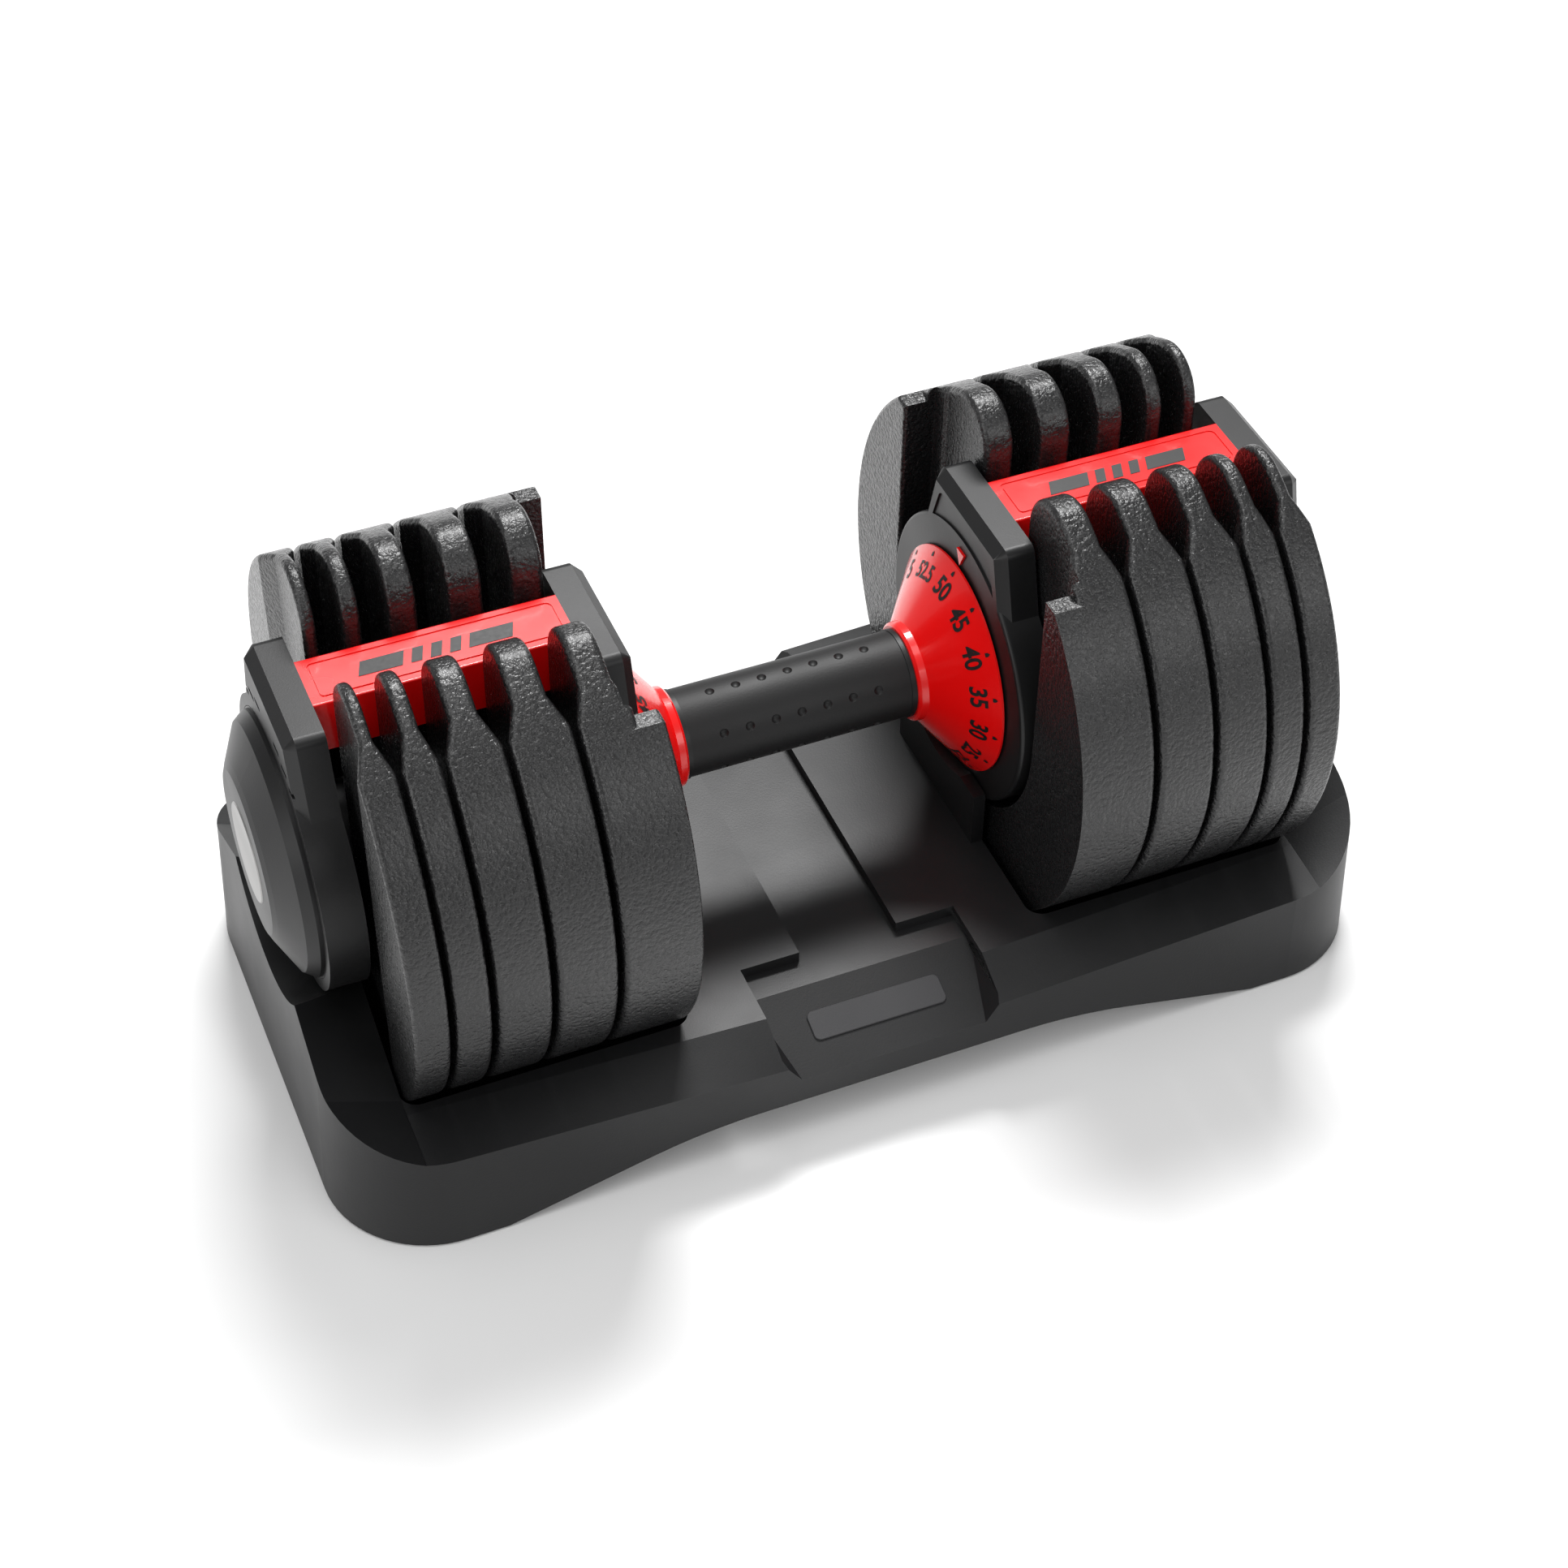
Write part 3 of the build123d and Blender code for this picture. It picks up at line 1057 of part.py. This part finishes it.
def tray_rack():
    """Rack in the right-hand well: an arched seat under the plates, with a rib between neighbours."""
    floor = WELL_FLOOR - AXIS_HEIGHT
    start = WELL_START + SIDE_CLEARANCE
    length = WELL_END - WELL_START - 2 * SIDE_CLEARANCE
    seat_edge = -math.sqrt(SEAT_RADIUS ** 2 - SEAT_HALF_WIDTH ** 2)
    with BuildPart() as rack:
        with BuildSketch(across(start)):
            with Locations((0, (floor + seat_edge) / 2)):
                Rectangle(2 * SEAT_HALF_WIDTH, seat_edge - floor)
            Circle(SEAT_RADIUS, mode=Mode.SUBTRACT)
        extrude(amount=length)
        with BuildSketch(across(start + SEAT_WALL)):
            with Locations((0, floor / 2)):
                Rectangle(2 * (SEAT_HALF_WIDTH - SEAT_WALL), abs(floor) + 10)
            Circle(SEAT_RADIUS + SEAT_WALL, mode=Mode.SUBTRACT)
            with Locations((0, 0)):
                Rectangle(300, 2 * abs(seat_edge), mode=Mode.SUBTRACT)
        extrude(amount=length - 2 * SEAT_WALL, mode=Mode.SUBTRACT)
        for number in (5, 4, 3, 2):
            middle = RIM_END[number] + PLATE_GAP / 2
            with BuildSketch(across(middle - RIB_THICKNESS / 2)):
                with Locations((0, (floor + seat_edge) / 2)):
                    Rectangle(2 * SEAT_HALF_WIDTH, seat_edge - floor)
                Circle(SEAT_RADIUS - RIB_HEIGHT, mode=Mode.SUBTRACT)
            extrude(amount=RIB_THICKNESS)
        with BuildSketch(Plane.XY.offset(WELL_FLOOR)):
            with Locations(*RACK_SCREW_PLACES):
                Circle(RACK_BOSS_RADIUS)
        extrude(amount=RACK_BOSS_HEIGHT)
        with BuildSketch(Plane.XY.offset(WELL_FLOOR)):
            with Locations(*RACK_SCREW_PLACES):
                Circle(RACK_SCREW_RADIUS)
        extrude(amount=RACK_SCREW_LENGTH, mode=Mode.SUBTRACT)
        with BuildSketch(across(start)):
            with Locations((0, floor / 2)):
                Rectangle(2 * (POST_HALF_WIDTH + SIDE_CLEARANCE), abs(floor))
        extrude(amount=POST_ROOM, mode=Mode.SUBTRACT)
    return rack.part


publish_pair(tray_rack(), "plate_rack")

POST_TOP = -HOUSING_DRUM_RADIUS - POST_GAP
with BuildPart() as release_post:
    with BuildSketch(Plane.XY.offset(WELL_FLOOR)):
        with Locations((POST_MIDDLE, 0)):
            Rectangle(POST_THICKNESS, 2 * POST_HALF_WIDTH)
    extrude(amount=AXIS_HEIGHT + POST_TOP - WELL_FLOOR)
    chamfer(release_post.faces().sort_by(Axis.Z)[-1].edges(), 0.6)
    with BuildSketch(Plane.XY.offset(WELL_FLOOR)):
        with Locations((POST_MIDDLE, 0)):
            Rectangle(POST_FOOT_LENGTH, 2 * POST_HALF_WIDTH - 1)
    extrude(amount=3)
publish(both_ends(release_post.part), "release_posts")

with BuildPart() as rack_screw_group:
    head_foot = WELL_FLOOR - TRAY_WALL - RACK_SCREW_HEAD
    with BuildSketch(Plane.XY.offset(head_foot)):
        with Locations(*RACK_SCREW_PLACES):
            Circle(RACK_SCREW_HEAD_RADIUS)
    extrude(amount=RACK_SCREW_HEAD)
    with BuildSketch(Plane.XY.offset(head_foot + RACK_SCREW_HEAD)):
        with Locations(*RACK_SCREW_PLACES):
            Circle(RACK_SCREW_RADIUS)
    extrude(amount=TRAY_WALL + RACK_SCREW_LENGTH)
    with BuildSketch(Plane.XY.offset(head_foot)):
        with Locations(*RACK_SCREW_PLACES):
            Rectangle(2 * RACK_SCREW_RADIUS, 0.9)
            Rectangle(0.9, 2 * RACK_SCREW_RADIUS)
    extrude(amount=0.9, mode=Mode.SUBTRACT)
publish(both_ends(rack_screw_group.part), "rack_screws")

with BuildPart() as rubber_feet:
    with Locations(*((x, y, 0) for x in (-FOOT_X, FOOT_X) for y in (-FOOT_Y, FOOT_Y))):
        Cylinder(FOOT_RADIUS, FOOT_THICKNESS, align=STANDING)
    chamfer(rubber_feet.faces().group_by(Axis.Z)[0].edges(), 0.8)
publish(rubber_feet.part, "rubber_feet")

pocket_run = TRAY_WIDTH / 2 + 3 - POCKET_BEND
pocket_fall = DECK_HEIGHT - CHANNEL_DEPTH - POCKET_FRONT_HEIGHT
badge_reach = 0.42
badge_point = (
    0,
    -(POCKET_BEND + badge_reach * pocket_run),
    DECK_HEIGHT - CHANNEL_DEPTH - badge_reach * pocket_fall,
)
badge_plane = Plane(origin=badge_point, x_dir=(1, 0, 0), z_dir=(0, -pocket_fall, pocket_run))
with BuildPart() as badge_plate:
    with BuildSketch(badge_plane):
        RectangleRounded(BADGE_LENGTH, BADGE_WIDTH, 2.5)
    extrude(amount=BADGE_THICKNESS)
    chamfer(badge_plate.faces().sort_by(Axis(badge_plane.origin, badge_plane.z_dir))[-1].edges(), 0.25)
publish(badge_plate.part, "badge_plate")
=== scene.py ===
"""Looks of the adjustable dumbbell in its tray: finishes, dial numbers, marks, stage, light and camera."""
import math

import bpy
from mathutils import Matrix, Vector
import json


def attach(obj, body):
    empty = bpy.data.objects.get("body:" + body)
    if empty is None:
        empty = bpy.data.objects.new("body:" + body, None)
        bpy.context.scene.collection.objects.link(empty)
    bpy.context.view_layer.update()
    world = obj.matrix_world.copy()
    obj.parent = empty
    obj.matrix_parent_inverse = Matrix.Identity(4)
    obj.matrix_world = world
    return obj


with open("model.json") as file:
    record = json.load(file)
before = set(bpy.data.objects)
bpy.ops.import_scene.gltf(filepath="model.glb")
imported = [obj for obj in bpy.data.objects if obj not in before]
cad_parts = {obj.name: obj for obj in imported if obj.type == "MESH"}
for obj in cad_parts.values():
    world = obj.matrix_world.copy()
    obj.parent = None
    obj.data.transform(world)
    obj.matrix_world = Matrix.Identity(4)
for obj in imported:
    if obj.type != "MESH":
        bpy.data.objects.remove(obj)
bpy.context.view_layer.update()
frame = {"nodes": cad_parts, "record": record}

AXIS_Z = 0.114                   # handle axis above the ground
SETTINGS = [5, 7.5, 10, 12.5, 15, 17.5, 20, 22.5, 25, 30, 35, 40, 45, 50, 52.5]
STEP = 360 / len(SETTINGS)


# ---------------------------------------------------------------- materials
class Finish:
    """One procedural material: a principled shader with layers mixed into it."""

    def __init__(self, name, color, roughness, metallic=0.0, coat=0.0, coat_roughness=0.1):
        self.material = bpy.data.materials.new(name)
        self.material.use_nodes = True
        self.tree = self.material.node_tree
        self.shader = self.tree.nodes["Principled BSDF"]
        self.shader.inputs["Metallic"].default_value = metallic
        self.shader.inputs["Coat Weight"].default_value = coat
        self.shader.inputs["Coat Roughness"].default_value = coat_roughness
        self.shader.inputs["Base Color"].default_value = (*color, 1)
        self.shader.inputs["Roughness"].default_value = roughness
        self.shader.inputs["Specular IOR Level"].default_value = 0.5 if metallic or coat else 0.36
        self.color = color
        self.normal = None
        coords = self.node("ShaderNodeTexCoord")
        self.place = coords.outputs["Object"]

    def node(self, kind, **inputs):
        made = self.tree.nodes.new(kind)
        for key, value in inputs.items():
            socket = made.inputs[key.replace("_", " ")]
            if isinstance(value, bpy.types.NodeSocket):
                self.tree.links.new(value, socket)
            else:
                socket.default_value = value
        return made

    def link(self, source, target):
        self.tree.links.new(source, target)

    def noise(self, scale, detail=3.0, roughness=0.55):
        made = self.node("ShaderNodeTexNoise", Vector=self.place, Scale=scale, Detail=detail)
        made.inputs["Roughness"].default_value = roughness
        return made.outputs["Fac"]

    def cells(self, scale):
        made = self.node("ShaderNodeTexVoronoi", Vector=self.place, Scale=scale)
        made.feature = "SMOOTH_F1"
        return made.outputs["Distance"]

    def ramp(self, value, low, high, out_low, out_high):
        made = self.node("ShaderNodeMapRange", Value=value)
        for key, number in zip(("From Min", "From Max", "To Min", "To Max"), (low, high, out_low, out_high)):
            made.inputs[key].default_value = number
        return made.outputs["Result"]

    def bump(self, height, strength, distance):
        made = self.node("ShaderNodeBump", Height=height, Strength=strength, Distance=distance)
        if self.normal:
            self.link(self.normal, made.inputs["Normal"])
        self.normal = made.outputs["Normal"]
        self.link(self.normal, self.shader.inputs["Normal"])

    def vary_roughness(self, value, low, high, out_low, out_high):
        self.link(self.ramp(value, low, high, out_low, out_high), self.shader.inputs["Roughness"])

    def vary_color(self, factor, other):
        mix = self.node("ShaderNodeMix")
        mix.data_type = "RGBA"
        self.link(factor, mix.inputs["Factor"])
        current = self.shader.inputs["Base Color"]
        if current.is_linked:
            self.link(current.links[0].from_socket, mix.inputs["A"])
        else:
            mix.inputs[6].default_value = (*self.color, 1)
        mix.inputs[7].default_value = (*other, 1)
        self.link(mix.outputs[2], current)

    def painted_edge_light(self, radius, color, amount):
        """Painted edge highlight: the colour is blended toward a given one where the surface turns sharply,
        so edges look as if they catch the light.
        """
        # painted light: the mask below is the bevel angle, and the edge colour is mixed into the base colour
        # there
        bevel = self.node("ShaderNodeBevel", Radius=radius)
        geometry = self.node("ShaderNodeNewGeometry")
        dot = self.node("ShaderNodeVectorMath")
        dot.operation = "DOT_PRODUCT"
        self.link(bevel.outputs["Normal"], dot.inputs[0])
        self.link(geometry.outputs["Normal"], dot.inputs[1])
        self.vary_color(self.ramp(dot.outputs["Value"], 0.98, 0.72, 0.0, amount), color)


def cast_iron():
    made = Finish("plate_iron", (0.008, 0.008, 0.0085), 0.36, metallic=0.0, coat=0.2, coat_roughness=0.25)
    pebbles = made.noise(620, detail=2.0, roughness=0.5)
    fine = made.noise(1900, detail=2.0)
    broad = made.noise(28, detail=3.0)
    made.bump(pebbles, 0.6, 0.0014)
    made.bump(fine, 0.16, 0.0004)
    made.vary_roughness(pebbles, 0.3, 0.7, 0.22, 0.42)
    made.vary_color(made.ramp(broad, 0.35, 0.75, 0.0, 0.5), (0.012, 0.012, 0.0125))
    # painted highlight: plate edges and rims are painted lighter, as if catching the light
    made.painted_edge_light(0.0012, (0.03, 0.03, 0.031), 0.5)
    return made


def moulded(name, color, roughness, grain=1500, strength=0.1, coat=0.0, painted_edge_color=(0.02, 0.02, 0.021)):
    made = Finish(name, color, roughness, coat=coat, coat_roughness=0.25)
    texture = made.noise(grain, detail=2.0)
    broad = made.noise(16, detail=3.0)
    made.bump(texture, strength, 0.0003)
    made.vary_roughness(broad, 0.3, 0.75, roughness - 0.05, roughness + 0.07)
    made.vary_color(made.ramp(broad, 0.35, 0.8, 0.0, 0.5), tuple(1.3 * c for c in color))
    # painted edge highlight: edges are blended toward the given colour, lighter than the dark plastics; on
    # the grey selector and core it makes the edges darker instead
    made.painted_edge_light(0.0007, painted_edge_color, 0.35)
    return made


def red_gloss():
    made = Finish("red_gloss", (0.80, 0.002, 0.002), 0.3, coat=0.4, coat_roughness=0.06)
    peel = made.noise(110, detail=1.0)
    broad = made.noise(24, detail=3.0)
    made.bump(peel, 0.035, 0.0006)
    made.vary_roughness(broad, 0.3, 0.75, 0.2, 0.3)
    made.vary_color(made.ramp(broad, 0.35, 0.8, 0.0, 0.4), (0.68, 0.002, 0.003))
    # painted highlight: the red cover's edges are painted a lighter red, as if catching the light
    made.painted_edge_light(0.0006, (0.86, 0.03, 0.025), 0.3)
    return made


def metal(name, color, roughness, lines=900.0, strength=0.12):
    made = Finish(name, color, roughness, metallic=1.0)
    stretch = made.node("ShaderNodeMapping", Vector=made.place)
    stretch.inputs["Scale"].default_value = (1.0, 0.08, 1.0)
    made.place = stretch.outputs["Vector"]
    brushed = made.noise(lines, detail=3.0)
    smudge = made.noise(35, detail=4.0)
    made.bump(brushed, strength, 0.0002)
    made.vary_roughness(smudge, 0.3, 0.75, roughness - 0.07, roughness + 0.1)
    made.vary_color(made.ramp(smudge, 0.35, 0.8, 0.0, 0.5), tuple(0.8 * c for c in color))
    return made


def printed(name, color, roughness=0.45):
    made = Finish(name, color, roughness)
    speck = made.noise(900, detail=2.0)
    made.vary_roughness(speck, 0.3, 0.7, roughness - 0.06, roughness + 0.08)
    made.vary_color(made.ramp(speck, 0.45, 0.8, 0.0, 0.35), tuple(0.7 * c + 0.01 for c in color))
    made.bump(speck, 0.05, 0.0001)
    return made


FINISHES = {
    "plate_iron": cast_iron(),
    "red_gloss": red_gloss(),
    "tray_plastic": moulded("tray_plastic", (0.0085, 0.0086, 0.0092), 0.42, grain=1300, strength=0.12),
    "rack_plastic": moulded("rack_plastic", (0.012, 0.012, 0.0125), 0.55),
    "housing_plastic": moulded("housing_plastic", (0.007, 0.007, 0.0074), 0.40, grain=1700, strength=0.1),
    "core_plastic": moulded("core_plastic", (0.03, 0.03, 0.032), 0.5),
    "selector_plastic": moulded("selector_plastic", (0.16, 0.16, 0.165), 0.4),
    "grip_rubber": moulded("grip_rubber", (0.006, 0.006, 0.0063), 0.5, grain=1100, strength=0.16),
    "foot_rubber": moulded("foot_rubber", (0.02, 0.02, 0.02), 0.75, grain=800, strength=0.2),
    "fastener_steel": metal("fastener_steel", (0.5, 0.5, 0.51), 0.36),
    "shaft_steel": metal("shaft_steel", (0.45, 0.45, 0.46), 0.32),
    "spring_steel": metal("spring_steel", (0.6, 0.6, 0.61), 0.22),
    "bush_brass": metal("bush_brass", (0.66, 0.44, 0.16), 0.34),
    "medallion_metal": metal("medallion_metal", (0.36, 0.355, 0.35), 0.42, lines=500.0, strength=0.08),
    "badge": moulded("badge", (0.035, 0.035, 0.037), 0.42),
}
INK = printed("dial_ink", (0.006, 0.006, 0.006), 0.4)

for part in frame["record"]["subparts"]:
    mesh = frame["nodes"][part["node"]].data
    mesh.materials.clear()
    mesh.materials.append(FINISHES[part["material_slot"]].material)


# ---------------------------------------------------------------- printed numbers and marks
CONE_INNER = (0.0501, 0.0198)    # along the handle and radius, at the dial's collar
CONE_OUTER = (0.0685, 0.0450)    # and at its rim
PRINT_LIFT = 0.00016
PRINT_RADIUS = 0.0369
DIGIT_HEIGHT = 0.0074
TICK_RADIUS = 0.0424
TICK_HALF_WIDTH = 0.0008
TICK_FOOT = -0.0004
TICK_POINT = 0.0018
DECIMAL_SHRINK = 0.86            # labels with a decimal point are set smaller
DIGIT_WIDTH = 0.86               # digits are narrowed to this share of their width
DIGIT_WEIGHT = 0.034             # how much the strokes are thickened, by digit height
CAPITAL_SHARE = 0.7              # a digit's height as a share of its font size

MARK_X = 0.1329                  # middle of a cover along the handle
COVER_TOP_Z = AXIS_Z + 0.0722
MARK_BARS = (0.016, 0.004, 0.004, 0.004, 0.016)
MARK_HEIGHT = 0.0072
MARK_LEAN = 0.35
MARK_GAP = 0.42                  # between bars, by mark height


def cone_point(side, angle, radius, lift):
    """Point on a dial's cone: side is +1 right or -1 left, and the angle is 90 at the top, 0 at the front."""
    run = CONE_OUTER[0] - CONE_INNER[0]
    rise = CONE_OUTER[1] - CONE_INNER[1]
    slope = math.hypot(run, rise)
    x = CONE_INNER[0] + (radius - CONE_INNER[1]) * run / rise
    x -= lift * rise / slope
    radius += lift * run / slope
    turn = math.radians(angle)
    return Vector((side * x, -radius * math.cos(turn), AXIS_Z + radius * math.sin(turn)))


def flat_text(text, height):
    """Vertices and faces of a line of digits, centred on the origin."""
    curve = bpy.data.curves.new("digits", "FONT")
    curve.body = text
    curve.size = height / CAPITAL_SHARE
    curve.align_x = "CENTER"
    curve.align_y = "CENTER"
    curve.offset = height * DIGIT_WEIGHT
    curve.resolution_u = 5
    holder = bpy.data.objects.new("digits", curve)
    bpy.context.scene.collection.objects.link(holder)
    bpy.context.view_layer.update()
    mesh = bpy.data.meshes.new_from_object(holder.evaluated_get(bpy.context.evaluated_depsgraph_get()))
    points = [(v.co.x * DIGIT_WIDTH, v.co.y) for v in mesh.vertices]
    faces = [tuple(p.vertices) for p in mesh.polygons]
    bpy.data.objects.remove(holder)
    bpy.data.curves.remove(curve)
    bpy.data.meshes.remove(mesh)
    return points, faces


def solid(name, points, faces, finish, body):
    mesh = bpy.data.meshes.new(name)
    mesh.from_pydata(points, [], faces)
    mesh.validate()
    mesh.update()
    mesh.materials.append(finish.material)
    made = bpy.data.objects.new(name, mesh)
    bpy.context.scene.collection.objects.link(made)
    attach(made, body)
    return made


def dial_print(side, name):
    points, faces = [], []
    slant = (CONE_OUTER[1] - CONE_INNER[1]) / math.dist(CONE_OUTER, CONE_INNER)
    rest = SETTINGS.index(50)

    def stamp(shape, shape_faces, angle, radius):
        start = len(points)
        for u, v in shape:
            at = radius + v * slant
            points.append(cone_point(side, angle - side * math.degrees(u / at), at, PRINT_LIFT))
        for face in shape_faces:
            turned = tuple(start + i for i in face)
            faces.append(turned if side > 0 else turned[::-1])

    for index, setting in enumerate(SETTINGS):
        angle = 90 - (rest - index) * STEP
        label = f"{setting:g}"
        shape, shape_faces = flat_text(label, DIGIT_HEIGHT * (DECIMAL_SHRINK if "." in label else 1))
        stamp(shape, shape_faces, angle, PRINT_RADIUS)
        half = TICK_HALF_WIDTH
        tick = [(-half, TICK_FOOT), (half, TICK_FOOT), (half, half), (0, TICK_POINT), (-half, half)]
        stamp(tick, [(0, 1, 2, 3, 4)], angle, TICK_RADIUS)
    return solid(name, points, faces, INK, "handle")


for side, name in ((1, "dial_numbers_right"), (-1, "dial_numbers_left")):
    dial_print(side, name)


def bars(name, origin, across, up, widths, height, lean, finish, body):
    """A plain row of leaning bars, printed flat on a surface."""
    points, faces = [], []
    gap = height * MARK_GAP
    start = -(sum(widths) + gap * (len(widths) - 1)) / 2
    for width in widths:
        corners = ((start, -0.5), (start + width, -0.5), (start + width, 0.5), (start, 0.5))
        first = len(points)
        for u, v in corners:
            points.append(origin + across * (u + v * lean * height) + up * (v * height))
        faces.append(tuple(range(first, first + 4)))
        start += width + gap
    return solid(name, points, faces, finish, body)


for side, end in ((1, "right"), (-1, "left")):
    middle = Vector((side * MARK_X, 0, COVER_TOP_Z + PRINT_LIFT))
    bars(f"cover_mark_{end}", middle, Vector((1, 0, 0)), Vector((0, 1, 0)),
         MARK_BARS, MARK_HEIGHT, MARK_LEAN, INK, "dumbbell_frame")

# ---------------------------------------------------------------- stage, light and camera
def plain(name, color, roughness):
    made = Finish(name, color, roughness)
    soft = made.noise(3.0, detail=2.0)
    made.vary_color(made.ramp(soft, 0.3, 0.8, 0.0, 1.0), tuple(0.985 * c for c in color))
    made.vary_roughness(soft, 0.3, 0.7, roughness - 0.03, roughness + 0.03)
    return made


bpy.ops.mesh.primitive_plane_add(size=12, location=(0, 0, 0))
floor = bpy.context.object
floor.name = "floor"
floor.data.materials.append(plain("floor", (0.86, 0.86, 0.86), 0.6).material)


def area_light(name, place, target, size, power):
    lamp = bpy.data.lights.new(name, "AREA")
    lamp.shape = "RECTANGLE"
    lamp.size, lamp.size_y = size
    lamp.energy = power
    made = bpy.data.objects.new(name, lamp)
    made.location = place
    made.rotation_euler = (Vector(target) - Vector(place)).to_track_quat("-Z", "Y").to_euler()
    bpy.context.scene.collection.objects.link(made)


LIGHT_TARGET = (0, 0, 0.1)
LIGHTS = (                       # name, place, size and power
    ("key", (0.5, 1.1, 1.9), (0.9, 0.5), 52),
    ("side", (-1.6, -0.7, 1.0), (0.9, 1.4), 11),
    ("front", (0.9, -1.8, 1.2), (1.6, 0.9), 12),
    ("top", (-0.3, -0.2, 2.2), (1.2, 1.2), 12),
)
for name, place, size, power in LIGHTS:
    area_light(name, place, LIGHT_TARGET, size, power)

world = bpy.data.worlds.new("studio")
world.use_nodes = True
world.node_tree.nodes["Background"].inputs["Color"].default_value = (1, 1, 1, 1)
world.node_tree.nodes["Background"].inputs["Strength"].default_value = 0.38
bpy.context.scene.world = world
bpy.context.scene.view_settings.view_transform = "Standard"

AZIMUTH, ELEVATION, ROLL = map(math.radians, (-22.931, 44.047, 0.646))
CAMERA_PLACE = (-0.325525, -0.767371, 0.889417)
SENSOR_WIDTH = 36
FOCAL_LENGTH = 69.196
VERTICAL_SHIFT = -0.0139
back = Vector((
    math.sin(AZIMUTH) * math.cos(ELEVATION),
    -math.cos(AZIMUTH) * math.cos(ELEVATION),
    math.sin(ELEVATION),
))
right = Vector((math.cos(AZIMUTH), math.sin(AZIMUTH), 0))
turned = Matrix((right, back.cross(right), back)).transposed()
lens = bpy.data.cameras.new("camera")
lens.sensor_width = SENSOR_WIDTH
lens.lens = FOCAL_LENGTH
lens.shift_y = VERTICAL_SHIFT
camera = bpy.data.objects.new("camera", lens)
camera.matrix_world = Matrix.Translation(CAMERA_PLACE) @ (
    turned @ Matrix.Rotation(ROLL, 3, "Z")
).to_4x4()
bpy.context.scene.collection.objects.link(camera)
bpy.context.scene.camera = camera
